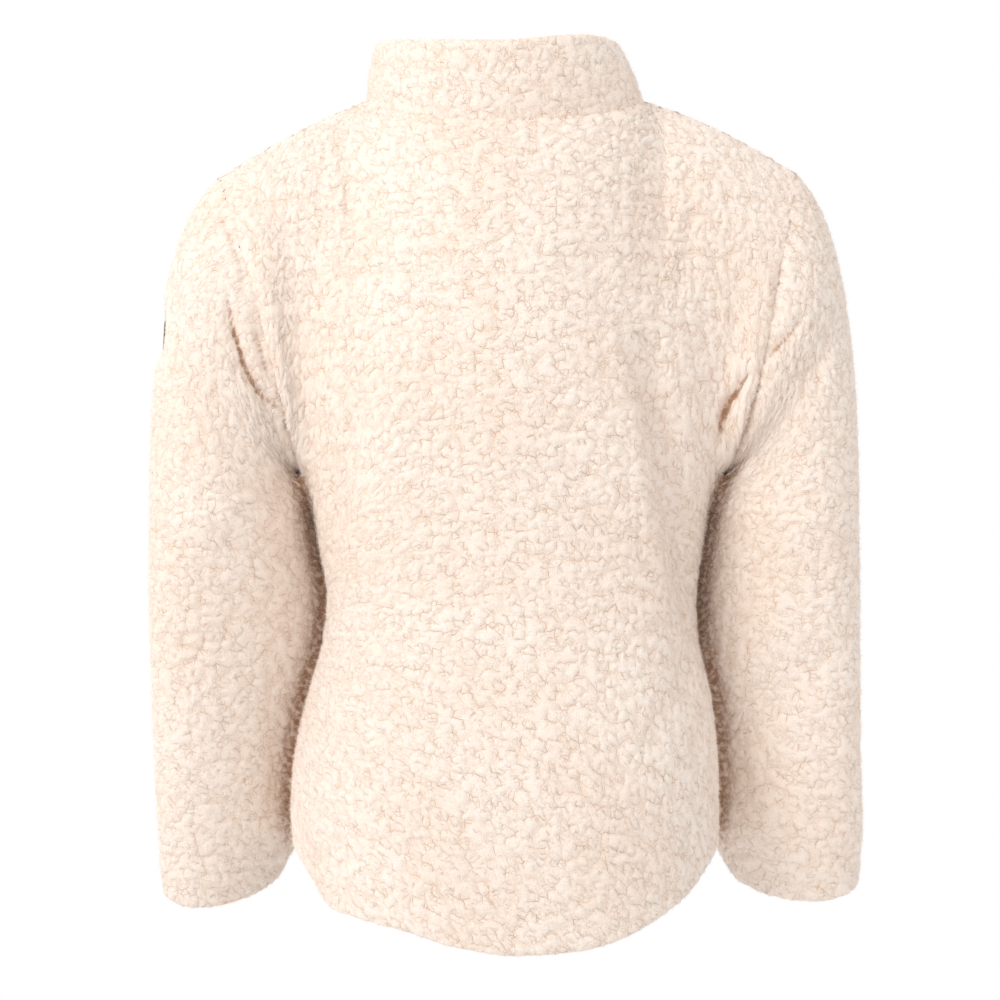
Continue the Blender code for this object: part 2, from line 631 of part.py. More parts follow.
def make_tape(side, inner, normals, cloth, low, high):
    edge, across, out = zip_rows(inner, normals, side)
    rows = cut_along(np.concatenate([edge, across, out], axis=1), low, high)
    edge, across, out = rows[:, :3], unit(rows[:, 3:6]), unit(rows[:, 6:9])
    outward = 1 if side == "left" else -1
    reach = [(outward * x - edge[:, 0]) / across[:, 0] for x in (TAPE_FROM, TAPE_TO)]
    near, far = (edge + across * step[:, None] for step in reach)
    front, behind = -out * ZIP_FIT, -out * (ZIP_FIT + TAPE_THICKNESS)
    corners = (near + front, far + front, far + behind, near + behind)
    sections = [np.array([c[i] for c in corners]) for i in range(len(rows))]
    strip(f"zip_tape_{side}", sections, cloth)


def zip_middle(inner, normals):
    """The zip's middle line, level with the middle of its tapes, and the way out at each row."""
    left, _, out = zip_rows(inner, normals, "left")
    right, _, _ = zip_rows(inner, normals, "right")
    middle = (left + right) / 2 * (0, 1, 1)
    return np.concatenate([middle - out * (ZIP_FIT + TAPE_THICKNESS / 2), out], axis=1)


def block_along(name, rows, half_width, thickness, finish):
    """A bar of this size along the zip's middle line."""
    across = np.array((half_width, 0, 0))
    sections = []
    for place, out in zip(rows[:, :3], unit(rows[:, 3:6])):
        lift = out * thickness / 2
        sections.append(
            np.array([place + a * across + b * lift for a, b in ((-1, 1), (1, 1), (1, -1), (-1, -1))])
        )
    return strip(name, sections, finish)


def box_between(shape, low, high, frame):
    """Adds a box to a bmesh, from its low and high corners in the frame's axes."""
    size, middle = Vector(high) - Vector(low), (Vector(low) + Vector(high)) / 2
    matrix = frame @ Matrix.Translation(middle) @ Matrix.Diagonal((*size, 1))
    bmesh.ops.create_cube(shape, size=1.0, matrix=matrix)


def joined_boxes(name, boxes, frame, finish):
    """One solid from overlapping boxes, joined by Boolean unions."""
    parts = []
    for k, (low, high) in enumerate(boxes):
        shape = bmesh.new()
        box_between(shape, low, high, frame)
        mesh = bpy.data.meshes.new(f"{name}_{k}")
        shape.to_mesh(mesh)
        shape.free()
        mesh.materials.append(finish)
        part = bpy.data.objects.new(name if k == 0 else f"{name}_{k}", mesh)
        bpy.context.scene.collection.objects.link(part)
        parts.append(part)
    for other in parts[1:]:
        join = parts[0].modifiers.new(other.name, "BOOLEAN")
        join.operation = "UNION"
        join.object = other
        other.hide_render = True
        other.display_type = "WIRE"
    return parts[0]


def slider_frame(rows):
    """Axes at the slider: X across, Y up along the zip and Z out of it."""
    along = lengths_along(rows[:, :3])
    at = along[-1] - SLIDER_BELOW_TOP
    place = np.array([np.interp(at, along, column) for column in rows[:, :3].T])
    ahead = np.array([np.interp(along[-1], along, column) for column in rows[:, :3].T])
    up = Vector(ahead - place).normalized()
    across = Vector((1, 0, 0))
    out = across.cross(up).normalized()
    axes = Matrix((across, up, out)).transposed().to_4x4()
    return Matrix.Translation(Vector(place)) @ axes, at


def make_slider(frame, metal):
    s = SLIDER
    w, low, high, mouth, plate = s["half_width"], -s["below"], s["above"], s["mouth"], s["plate"]
    top = mouth + plate
    lug, foot, reach = s["lug_half_width"], s["lug_foot"], s["lug_reach"]
    bar = top + s["lug_clear"]
    sunk = 0.0003
    boxes = [
        ((-w, low, mouth), (w, high, top)),
        ((-w, low, -top), (w, high, -mouth)),
        ((-s["post"], high - 2 * s["post"], -top + sunk), (s["post"], high - sunk, top - sunk)),
        ((-lug, -reach, top - sunk), (lug, foot - reach, bar + s["lug_bar"])),
        ((-lug, reach - foot, top - sunk), (lug, reach, bar + s["lug_bar"])),
        ((-lug, -reach + sunk, bar), (lug, reach - sunk, bar + s["lug_bar"] - sunk)),
    ]
    return joined_boxes("zip_slider", boxes, frame, metal)


def make_pull(frame, metal):
    """The pull tab, hanging straight down from its bar, which lies under the slider's lug."""
    p, top = PULL, SLIDER["mouth"] + SLIDER["plate"]
    pivot = frame @ Vector((0, 0, top + SLIDER["lug_clear"] / 2))
    hanging = Matrix.Translation(pivot) @ Matrix(((-1, 0, 0, 0), (0, 0, -1, 0), (0, 1, 0, 0), (0, 0, 0, 1)))
    t, w, eye = p["thickness"] / 2, p["half_width"], p["eye_half_width"]
    bar, sunk = t - 0.0001, 0.0003
    boxes = [
        ((-w, -p["length"], -t), (w, -p["eye_length"], t)),
        ((-w + sunk, -bar, -bar), (w - sunk, bar, bar)),
        ((-w, -p["eye_length"] - sunk, -t), (-eye, t, t)),
        ((eye, -p["eye_length"] - sunk, -t), (w, t, t)),
    ]
    return joined_boxes("zip_pull", boxes, hanging, metal)


def main():
    for thing in list(bpy.data.objects):
        bpy.data.objects.remove(thing)
    fleece = material("fleece", (0.92, 0.80, 0.69), 0.95)
    tape_cloth = material("zip_tape", (0.78, 0.68, 0.58), 0.85)
    teeth = material("zip_teeth", (0.72, 0.62, 0.52), 0.45)
    metal = material("zip_metal", (0.55, 0.54, 0.52), 0.3, 1.0)
    patch_cloth = material("patch_cloth", (0.85, 0.84, 0.82), 0.8)

    _, inner, normals = make_walls(fleece)
    make_patch(patch_cloth, fleece)

    rows = zip_middle(inner, normals)
    length = lengths_along(rows[:, :3])[-1]
    above_box = BOX_LENGTH + ZIP_FIT
    frame, slider_at = slider_frame(rows)
    chain_top = slider_at + SLIDER["above"] - 2 * SLIDER["post"] - ZIP_FIT
    block_along("zip_box", cut_along(rows, 0.0005, BOX_LENGTH), BOX_HALF_WIDTH, BOX_THICKNESS, metal)
    chain = cut_along(rows, above_box, chain_top)
    block_along("zip_chain", chain, CHAIN_HALF_WIDTH, CHAIN_THICKNESS, teeth)
    for side in ("left", "right"):
        make_tape(side, inner, normals, tape_cloth, above_box, length - 0.002)
    make_slider(frame, metal)
    make_pull(frame, metal)


main()
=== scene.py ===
"""The looks of a cream sherpa fleece jacket, dressed over its CAD frame and seen from behind.

Each panel of the CAD model is rebuilt here as a fine shell on the same surface. Its pile is pressed
into lumps with creases between them, and loose fibres stand on it. The zip gets its teeth and metal,
and the patch its weave and stitches. Lengths are in metres: +Z up, +X the wearer's left and +Y the
wearer's back, with the origin in the middle of the neck.
"""

import math

import bmesh
import bpy
import numpy as np
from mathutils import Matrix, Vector
from mathutils.kdtree import KDTree


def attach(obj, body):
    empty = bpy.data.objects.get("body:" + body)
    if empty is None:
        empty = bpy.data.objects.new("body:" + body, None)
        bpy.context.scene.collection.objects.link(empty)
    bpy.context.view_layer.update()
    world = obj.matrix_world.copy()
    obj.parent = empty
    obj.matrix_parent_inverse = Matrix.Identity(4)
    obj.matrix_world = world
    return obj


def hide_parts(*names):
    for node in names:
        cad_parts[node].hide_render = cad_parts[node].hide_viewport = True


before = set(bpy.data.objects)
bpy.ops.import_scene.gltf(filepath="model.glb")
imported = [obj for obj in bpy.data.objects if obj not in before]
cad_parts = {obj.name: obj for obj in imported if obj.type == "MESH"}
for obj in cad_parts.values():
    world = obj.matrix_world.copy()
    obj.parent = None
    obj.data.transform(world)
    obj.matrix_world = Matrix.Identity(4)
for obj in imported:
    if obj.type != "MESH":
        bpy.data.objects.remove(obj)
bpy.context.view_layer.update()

# ------------------------------ driving sizes, in metres
OUTWARD = {"left": 1, "right": -1}  # along X
TOWARDS = {"back": 1, "front": -1}  # along Y
WALL = 0.008  # the fleece, from its knitted back to the tips of its pile
SQUARENESS = 2.35  # exponent of the torso's rounded section, where 2 is an ellipse
SLEEVE_SQUARENESS = 2.05

# The torso's sections: half-width to each side, and depth from the side seams to back and front.
TORSO = {
    "height": (-0.740, -0.660, -0.610, -0.565, -0.520, -0.475, -0.430, -0.385, -0.340, -0.300),
    "left": (0.1840, 0.1855, 0.1870, 0.1830, 0.1725, 0.1600, 0.1560, 0.1640, 0.1700, 0.1740),
    "right": (0.1850, 0.1870, 0.1870, 0.1855, 0.1800, 0.1700, 0.1680, 0.1740, 0.1800, 0.1840),
    "back": (0.1380, 0.1370, 0.1350, 0.1300, 0.1220, 0.1140, 0.1090, 0.1080, 0.1110, 0.1150),
    "front": (0.1330, 0.1340, 0.1350, 0.1350, 0.1335, 0.1315, 0.1305, 0.1320, 0.1350, 0.1370),
}

# How far the hem hangs below its height at the side seams. "across" is the share of the half-width.
HEM_HEIGHT = -0.650
HEM_DROP = {
    "across": (0.00, 0.25, 0.50, 0.70, 0.83, 0.92, 1.00),
    "back left": (0.0800, 0.0720, 0.0590, 0.0510, 0.0420, 0.0180, 0.0000),
    "back right": (0.0800, 0.0785, 0.0700, 0.0530, 0.0370, 0.0190, 0.0000),
    "front": (0.0100, 0.0095, 0.0080, 0.0050, 0.0025, 0.0008, 0.0000),
}

# Where each armhole starts and ends, and which way its back and front halves leave and arrive.
ARMHOLE = {
    "left": {
        "pit": (0.181, 0.000, -0.325), "shoulder": (0.250, 0.004, -0.066),
        "leave": (0.000, 0.260, 0.040), "arrive": (0.045, -0.210, 0.035),
    },
    "right": {
        "pit": (0.191, 0.000, -0.325), "shoulder": (0.254, 0.004, -0.062),
        "leave": (0.070, 0.260, 0.040), "arrive": (0.015, -0.210, 0.035),
    },
}
PIT_FLARE_HEIGHT = 0.016  # the side turns outward over this height below the pit
PIT_FLARE_REACH = 0.14  # of a half's columns, over which that fades from the side
SHOULDER_RISE = {"left": 0.004, "right": 0.006}  # of the middle of the seam over a straight line

# The neck: half an ellipse behind and half in front of the points where the shoulders meet it.
NECK_HALF_WIDTH = 0.1215
NECK_SIDE_HEIGHT = 0.002
NECK_BACK = (0.075, -0.024)  # depth and height at the middle of the back
NECK_FRONT = (0.082, -0.078)
NECK_DIP = 1.4  # exponent of its fall from the sides to the middle
NECK_SHARE = 0.5  # of a half panel's columns, counted from the middle, that end at the neck

# Tangents of the columns above the pit, at their lower and upper ends, for the back. The front's
# point the other way in Y. "turn" is 0 at the side, 0.5 at the side of the neck and 1 in the middle.
COLUMN_LEAVE = (0.000, 0.030, 0.280)
ARMHOLE_REACH = 0.16  # of turn, over which the armhole's own tangents give way to these
CORNER_SPREAD = 0.17  # of turn, over which the corner between shoulder and neck is rounded below them
CORNER_REACH = 0.30  # of rise, down to which that corner shows
COLUMN_ARRIVE = {
    "turn": (0.00, 0.25, 0.36, 0.44, 0.50, 0.56, 0.64, 0.76, 0.88, 1.00),
    "out": (0.020, 0.000, -0.020, -0.050, -0.085, -0.110, -0.110, -0.080, -0.040, 0.000),
    "over": (-0.230, -0.230, -0.210, -0.180, -0.145, -0.105, -0.100, -0.115, -0.128, -0.130),
    "up": (0.020, 0.022, 0.035, 0.055, 0.078, 0.100, 0.125, 0.155, 0.185, 0.200),
}

# The sleeves' sections below the pit, each an oval. Its inner edge is clear of the torso by
# "clear" and lies forward of its middle by "turned"; its back is tipped down by "tip" degrees, and
# its inner edge is raised by "raised".
SLEEVE_SECTIONS = {
    "clear": (0.0060, 0.0040, 0.0040, 0.0050, 0.0150, 0.0360),
    "middle": (-0.004, -0.012, -0.024, -0.036, -0.046, -0.054),
    "turned": (0.024, 0.034, 0.036, 0.034, 0.028, 0.018),
    "depth": (0.0740, 0.0640, 0.0570, 0.0530, 0.0490, 0.0450),
}
SLEEVES = {
    "left": {
        "height": (-0.360, -0.420, -0.500, -0.580, -0.640, -0.688),
        "outer": (0.3100, 0.3105, 0.3095, 0.3080, 0.3070, 0.3050),
        "tip": (6.0, 9.0, 12.0, 15.0, 20.0, 29.0),
        "raised": (0.000, 0.000, 0.000, 0.001, 0.003, 0.007),
    } | SLEEVE_SECTIONS,
    "right": {
        "height": (-0.360, -0.420, -0.500, -0.580, -0.640, -0.684),
        "outer": (0.3080, 0.3090, 0.3105, 0.3130, 0.3160, 0.3150),
        "tip": (6.0, 9.0, 12.0, 15.0, 19.0, 28.0),
        "raised": (0.000, 0.000, 0.000, 0.001, 0.002, 0.003),
    } | SLEEVE_SECTIONS,
}
SLEEVE_CLEAR = 0.0035  # least space between a sleeve and the torso beside it
CLEAR_BELOW_PIT = 0.035  # over which that space opens
CLEAR_SOFTNESS = 0.003  # over which a sleeve's surface turns aside to keep it
SECTION_END = 0.98  # of a section's depth, past which its width isn't followed further
SLEEVE_FULLNESS = {"left": 1.0, "right": 0.9}  # of the cap
# Tangents of a sleeve's columns where they leave the armhole, and how long those are that arrive at
# the first section. "round" is 0 at the pit, 0.25 at the back, 0.5 on top and 0.75 at the front.
SLEEVE_CAP = {
    "round": (0.000, 0.125, 0.250, 0.375, 0.500, 0.625, 0.750, 0.875, 1.000),
    "out": (0.030, 0.060, 0.105, 0.145, 0.170, 0.150, 0.120, 0.085, 0.030),
    "back": (0.000, 0.050, 0.050, 0.020, 0.000, -0.020, -0.045, -0.030, 0.000),
    "down": (0.000, 0.040, 0.080, 0.110, 0.120, 0.110, 0.080, 0.025, 0.000),
    "arrive": (0.060, 0.100, 0.180, 0.260, 0.300, 0.260, 0.180, 0.100, 0.060),
}

# The collar's top edge. Its middle lies to the wearer's left of the neck's.
COLLAR_TOP_HALF_WIDTH = 0.1050
COLLAR_TOP_SHIFT = 0.0070
COLLAR_TOP_SIDE_HEIGHT = 0.0540
COLLAR_TOP_BACK = (0.084, 0.0440)  # depth and height at the middle of the back
COLLAR_TOP_FRONT = (0.100, -0.0120)
COLLAR_TOP_LIFT = 0.005  # of its top behind the right ear
COLLAR_DIP = 1.7  # exponent of its top's fall from the sides to the middle
COLLAR_BULGE = 0.002  # outward, half way up
COLLAR_FLATTENS = 0.75  # of turn, from which the bulge fades towards the zip
COLLAR_WALL = 0.011  # two layers of fleece, turned over at the top
COLLAR_THICKENS = 0.5  # of its rows, over which it reaches that thickness

# Soft folds, in millimetres, seen from behind (facing 1) or from the front (facing -1): a trough
# from one point to another, with its half-width and depth. A negative depth is a ridge. Columns:
# facing, from x and z, to x and z, half-width, depth.
FOLDS = (
    (1, -110, -215, -158, -440, 17, 11.0),
    (1, -75, -240, -128, -470, 20, -4.0),
    (1, 128, -230, 150, -420, 17, 5.5),
    (1, 60, -120, 45, -400, 40, 5.0),
    (1, -150, -440, -168, -580, 18, 4.5),
    (1, 190, -150, 172, -300, 12, 5.0),
    (1, -205, -150, -185, -290, 12, 5.0),
    (1, 285, -220, 205, -330, 16, 5.0),
    (1, -290, -190, -228, -300, 16, 6.5),
    (1, 290, -420, 190, -500, 18, 3.5),
    (1, -295, -470, -205, -540, 18, 3.5),
    (-1, 115, -215, 150, -430, 18, 8.0),
    (-1, -115, -215, -155, -430, 18, 8.0),
    (-1, 70, -440, 165, -540, 20, 4.5),
    (-1, -60, -480, -170, -570, 20, 4.5),
    (-1, 280, -300, 205, -370, 16, 5.5),
    (-1, -285, -300, -210, -370, 16, 5.5),
    (-1, 295, -440, 200, -480, 16, 5.0),
    (-1, -295, -440, -205, -490, 16, 5.0),
)
FOLD_ENDS = 0.35  # of its depth that a fold keeps at its two ends
FOLD_WRAP = 1.6  # the higher, the further around the jacket's sides a fold stays full

# The patch on the wearer's left upper arm. Its stitches hold the pile down to a flat seat.
PATCH_RADIUS = 0.025
PATCH_THICKNESS = 0.0016
PATCH_CENTRE = (0.2975, 0.004, -0.206)  # of the seat
PATCH_FACING = (0.995, 0.080, 0.050)
PATCH_FIT = 0.0004  # between the patch and its seat
PATCH_ROOM = 0.0008  # around the patch

# The zip. Its tapes lie behind the fronts, whose edges stand apart to show its teeth.
ZIP_HALF_OPENING = 0.0070
TAPE_THICKNESS = 0.0010
CHAIN_THICKNESS = 0.0026
ZIP_FIT = 0.0004  # between the fleece and the tape behind it, and along the zip
BOX_LENGTH = 0.009  # of the block that holds the zip's lower ends
TEETH_BELOW_TOP = 0.0098  # from the zip's top down to its first teeth, inside the slider


# ------------------------------ smooth curves
def through(knots, values, at):
    """The smooth curve through the knots, with the slope of each knot's two neighbours."""
    knots, values = np.asarray(knots, float), np.asarray(values, float)
    if knots[0] > knots[-1]:
        knots, values = knots[::-1], values[::-1]
    slopes = np.gradient(values, knots)
    at = np.clip(at, knots[0], knots[-1])
    i = np.clip(np.searchsorted(knots, at) - 1, 0, len(knots) - 2)
    span = knots[i + 1] - knots[i]
    t = (at - knots[i]) / span
    return hermite(values[i], span * slopes[i], values[i + 1], span * slopes[i + 1], t)


def row(table, name, at):
    """A row of a table at places along its first row, which is the table's scale."""
    return through(next(iter(table.values())), table[name], at)


def hermite(start, leave, end, arrive, t):
    """The cubic from start to end with these tangents, for t from 0 to 1."""
    return (
        (2 * t**3 - 3 * t**2 + 1) * start
        + (t**3 - 2 * t**2 + t) * leave
        + (3 * t**2 - 2 * t**3) * end
        + (t**3 - t**2) * arrive
    )


def smooth_step(low, high, at):
    """0 before low and 1 past high, with a smooth climb between them."""
    t = np.clip((at - low) / (high - low), 0, 1)
    return t * t * (3 - 2 * t)


def shape_of(from_line, width):
    """A smooth hump: 1 on the line, and nearly 0 at twice its width from it."""
    return np.exp(-((from_line / width) ** 2))


def point(x, y, z):
    """Points from their coordinates, each a number or an array."""
    return np.stack(np.broadcast_arrays(x, y, z), axis=-1).astype(float)


def unit(vectors):
    """The vectors' directions, each of length 1."""
    return vectors / np.maximum(np.linalg.norm(vectors, axis=-1, keepdims=True), 1e-12)


# ------------------------------ the torso's surface
def middle_edge(half):
    """How far the middle edge of half a torso lies from the jacket's middle."""
    return ZIP_HALF_OPENING if half == "front" else 0.0


def torso_low(side, half, climb, turn):
    """Below the pit. climb is 0 at the hem and 1 at the pit, turn 0 at the side and 1 in the middle."""
    angle = turn * math.pi / 2
    across = np.cos(angle) ** (2 / SQUARENESS)
    out = np.sin(angle) ** (2 / SQUARENESS)
    hem = HEM_HEIGHT - row(HEM_DROP, "front" if half == "front" else f"back {side}", across)
    pit_x, _, pit_z = ARMHOLE[side]["pit"]
    z = hem + (pit_z - hem) * climb
    flare = (pit_x - row(TORSO, side, pit_z)) * shape_of(pit_z - z, PIT_FLARE_HEIGHT)
    middle_x = middle_edge(half)
    x = middle_x + (row(TORSO, side, z) - middle_x) * across + flare * shape_of(turn, PIT_FLARE_REACH)
    return point(x, row(TORSO, half, z) * out * TOWARDS[half], z)


def neck_edge(half, turn):
    """Where a column ends at the neck, for turn from 0 at the shoulder to 1 in the middle."""
    angle = turn * math.pi / 2
    depth, low = NECK_BACK if half == "back" else NECK_FRONT
    middle_x = middle_edge(half)
    x = middle_x + (NECK_HALF_WIDTH - middle_x) * np.cos(angle)
    z = NECK_SIDE_HEIGHT + (low - NECK_SIDE_HEIGHT) * np.sin(angle) ** NECK_DIP
    return point(x, depth * np.sin(angle) * TOWARDS[half], z)


def top_edge(side, half, turn):
    """The shoulder seam, from the armhole, and then the neck."""
    shoulder = np.array(ARMHOLE[side]["shoulder"])
    neck_side = np.array((NECK_HALF_WIDTH, 0.0, NECK_SIDE_HEIGHT))
    along = np.clip(turn / (1 - NECK_SHARE), 0, 1)[..., None]
    seam = shoulder + (neck_side - shoulder) * along
    seam[..., 2] += SHOULDER_RISE[side] * np.sin(math.pi * along[..., 0])
    neck = neck_edge(half, np.clip((turn - 1 + NECK_SHARE) / NECK_SHARE, 0, 1))
    return np.where((turn > 1 - NECK_SHARE)[..., None], neck, seam)


def torso(side, half, rise, turn):
    """The torso's outer surface. rise is 0 at the hem, 1 at the pit and 2 at the shoulder and neck."""
    rise, turn = np.broadcast_arrays(np.asarray(rise, float), np.asarray(turn, float))
    facing = np.array((1, TOWARDS[half], 1))
    start = torso_low(side, half, np.clip(rise, 0, 1), turn)
    end = top_edge(side, half, turn)
    reach = CORNER_SPREAD * np.sin(math.pi * turn)
    rounded = sum(top_edge(side, half, turn + k * reach / 3) for k in range(-3, 4)) / 7
    corner = (end - rounded) * smooth_step(2 - CORNER_REACH, 2, rise)[..., None]
    at_edge = shape_of(turn, ARMHOLE_REACH)[..., None]
    leave = np.array(ARMHOLE[side]["leave"]) * at_edge + np.array(COLUMN_LEAVE) * (1 - at_edge)
    column = point(*(row(COLUMN_ARRIVE, name, turn) for name in ("out", "over", "up")))
    arrive = np.array(ARMHOLE[side]["arrive"]) * at_edge + column * (1 - at_edge)
    share = np.clip(rise - 1, 0, 1)[..., None]
    high = hermite(start, leave * facing, rounded, arrive * facing, share) + corner
    found = np.where((rise > 1)[..., None], high, start)
    return found * np.array((OUTWARD[side], 1, 1))


# ------------------------------ the sleeves' surface
def armhole(side, around):
    """The armhole seam, up the back from the pit and down the front."""
    behind = torso(side, "back", 1 + 2 * np.clip(around, 0, 0.5), np.zeros_like(around))
    before = torso(side, "front", 1 + 2 * np.clip(1 - around, 0, 0.5), np.zeros_like(around))
    return np.where((around > 0.5)[..., None], before, behind)


def body_edge(side, y, z):
    """How far the torso reaches to this side at a depth and height below the pit."""
    depth = np.where(y > 0, row(TORSO, "back", z), row(TORSO, "front", z))
    share = np.clip(np.abs(y) / depth, 0, SECTION_END)
    return row(TORSO, side, z) * (1 - share**SQUARENESS) ** (1 / SQUARENESS)


def sleeve_section(side, height, around):
    """The tipped oval whose middle has this height."""
    table = {name: row(SLEEVES[side], name, height) for name in SLEEVES[side]}
    inner = body_edge(side, table["middle"] - table["turned"], height) + table["clear"]
    outer, tip = table["outer"], np.radians(table["tip"])
    angle = 2 * math.pi * around
    cos, sin = np.cos(angle), np.sin(angle)
    cos = np.sign(cos) * np.abs(cos) ** (2 / SLEEVE_SQUARENESS)
    sin = np.sign(sin) * np.abs(sin) ** (2 / SLEEVE_SQUARENESS)
    x = (inner + outer) / 2 - (outer - inner) / 2 * cos
    y = table["middle"] + table["depth"] * sin * np.cos(tip) - table["turned"] * cos
    z = height - table["depth"] * sin * np.sin(tip) + table["raised"] * cos
    return point(x * OUTWARD[side], y, z)


def sleeve(side, down, around):
    """A sleeve's outer surface. down is 0 at the armhole, 1 at the first section and 2 at the cuff."""
    down, around = np.broadcast_arrays(np.asarray(down, float), np.asarray(around, float))
    outward = OUTWARD[side]
    first, last = SLEEVES[side]["height"][0], SLEEVES[side]["height"][-1]
    out, back, fall, arrive = (row(SLEEVE_CAP, name, around) for name in ("out", "back", "down", "arrive"))
    leave = point(outward * SLEEVE_FULLNESS[side] * out, back, -fall)
    arrive = point(0 * around, 0 * around, -arrive)
    start, end = armhole(side, around), sleeve_section(side, np.full_like(down, first), around)
    cap = hermite(start, leave, end, arrive, np.clip(down, 0, 1)[..., None])
    arm = sleeve_section(side, first + (last - first) * np.clip(down - 1, 0, 1), around)
    found = np.where((down > 1)[..., None], arm, cap)
    x, y, z = outward * found[..., 0], found[..., 1], found[..., 2]
    below = smooth_step(0, CLEAR_BELOW_PIT, ARMHOLE[side]["pit"][2] - z)
    least = body_edge(side, y, z) + SLEEVE_CLEAR
    pushed = (x + least + np.sqrt((x - least) ** 2 + CLEAR_SOFTNESS**2)) / 2
    return point(outward * (x + (pushed - x) * below), y, z)


# ------------------------------ the collar's surface
def collar(half, side, up, turn):
    """The collar's outer surface. up is 0 at the neck seam and 1 at the top, turn 0 at the side."""
    up, turn = np.broadcast_arrays(np.asarray(up, float), np.asarray(turn, float))
    base = neck_edge(half, turn) * np.array((OUTWARD[side], 1, 1))
    angle = turn * math.pi / 2
    depth, low = COLLAR_TOP_BACK if half == "back" else COLLAR_TOP_FRONT
    y = depth * np.sin(angle) * TOWARDS[half]
    z = COLLAR_TOP_SIDE_HEIGHT + (low - COLLAR_TOP_SIDE_HEIGHT) * np.sin(angle) ** COLLAR_DIP
    if (side, half) == ("right", "back"):
        z = z + COLLAR_TOP_LIFT * np.sin(2 * angle) ** 2
    shift = COLLAR_TOP_SHIFT * (np.cos(angle) if half == "front" else 1.0)
    opening = middle_edge(half)
    x = shift + OUTWARD[side] * (opening + (COLLAR_TOP_HALF_WIDTH - opening) * np.cos(angle))
    found = base + (point(x, y, z) - base) * up[..., None]
    away = unit(point(found[..., 0], found[..., 1], 0 * up)) * (1, 1, 0)
    at_zip = 1 - smooth_step(COLLAR_FLATTENS, 1.0, turn) if half == "front" else 1.0
    return found + away * (COLLAR_BULGE * np.sin(math.pi * up) * at_zip)[..., None]


# ------------------------------ the looks' own sizes
# How finely the shells follow the surfaces: steps of about 2 mm.
LOW_STEPS = 180  # from the hem up to the pit
HIGH_STEPS = 168  # from the pit up to the shoulder
HALF_STEPS = 120  # across half a back, or one front
CAP_STEPS = 117  # down a sleeve, from the armhole to its first section
ARM_STEPS = 156  # from there to the cuff
AROUND_STEPS = 168  # around a sleeve
NECK_STEPS = 75  # across a quarter of the collar
COLLAR_STEPS = 30
EDGE_STEPS = (0.0, 0.12, 0.45)  # shares of a step at which rows are added along a rounded edge
PIT_ROW = LOW_STEPS + len(EDGE_STEPS) - 1
BACKING_STEP = 3  # the knitted back is this much coarser than the pile

SEAM_GROOVE = 0.0003  # how deep the pile is pressed where panels are sewn together
SLEEVE_GROOVE = 0.0010  # the same on a sleeve, which is sewn in under the body's edge
SEAM_REACH = 0.0032  # over which the pile is pressed beside a seam, and drawn past it
SEAM_LAP = 0.0020  # how far each edge reaches past its seam
SEAM_WAVES = ((0.0115, 0.3), (0.0083, 2.0))  # wavelengths and shifts, in which that varies along it
SEAM_WAVE_REACH = 0.0007
SLEEVE_LAP = 0.0038  # how far a sleeve's edge reaches under the body's
PIT_LAP, PIT_LAP_REACH = 0.0030, 0.010  # further still where four panels meet, and over what height
GAP_SHADE_REACH = 0.015  # between a sleeve and the torso, within which shade is painted on both
GAP_CLOSES = (0.0095, 0.0060)  # gaps narrower than this are closed by the pile
GAP_WRAP = 1.5  # the higher, the less squarely the two sides need to face each other for that
MITRE_REACH = 0.012  # over which neighbouring walls turn towards the middle of their seam
MEETING = 0.0018  # edges nearer than this are sewn together
PATCH_PRESS = 0.0030  # over which the pile rises again around the patch
PATCH_PRESS_BEHIND = 0.016  # how much further it takes on the patch's side towards the back
EDGE_PILE = 0.45  # of the pile's height that is left on a rounded edge

LUMP = 0.0086  # across a lump of pile
PANEL_SHIFT = 1.3  # between the panels' places on the pattern, so that none repeats another
# The rows of lumps arch over the middle of the back, and tilt on its lower part.
BACK_ARCH, BACK_ARCH_BELOW_PIT, BACK_ARCH_REACH = 1.4, 0.03, 0.12
BACK_TILT, BACK_TILT_FROM = 0.38, (0.05, 0.32)
LUMP_HEIGHT = 0.0018
# In lumps: how often and how far the rows of lumps wander, and how their creases kink.
LUMP_BEND = (0.30, 0.8)
LUMP_KINK = (1.25, 0.46)
LUMP_FRAY = (4.5, 0.07)
LUMP_FLATNESS = (0.97, 1.06, 1.0)  # lumps are a little wider than they are tall
GAP_REACH = 0.40  # from the middle of a crease to the top of a lump, for a lump's size
LINE_REACH = 0.060  # half the width of a crease's line, which is grooved and painted with shade
# Sizes of lump, each with a shift of its own: how often they fade, the noise from which and to
# which they fade in, and their least and greatest strength.
LUMP_LAYER_COLUMNS = ("shift", "size", "fading", "from", "to", "least", "most")
LUMP_LAYERS = (
    (0.0, 1.0, 0.9, 0.36, 0.64, 0.12, 1.0),
    (11.3, 0.60, 0.6, 0.48, 0.66, 0.0, 0.75),
    (23.9, 2.10, 0.5, 0.42, 0.60, 0.0, 1.0),
)
STANDS_PROUD = 0.0010  # of the solid's surface, at the highest lumps
CELL_RANDOMNESS = 0.85  # of the cells that lumps and knitted stitches are drawn from
CREASE_BUMP, CURL_BUMP, LINE_BUMP = 0.00052, 0.00070, -0.00026  # heights of the finest relief

SAME_SPOT = 1e-6  # points nearer than this are one
# On the zip's small parts, edges flatter than the first angle, in radians, are taken away, and those
# sharper than the second are rounded.
FLAT_ANGLE, SHARP_ANGLE = 0.02, 0.6
ZIP_ROUNDING = {"zip_box": 0.0005, "zip_slider": 0.00035, "zip_pull": 0.0}

TOOTH_PITCH = 0.0025  # between teeth on the same side
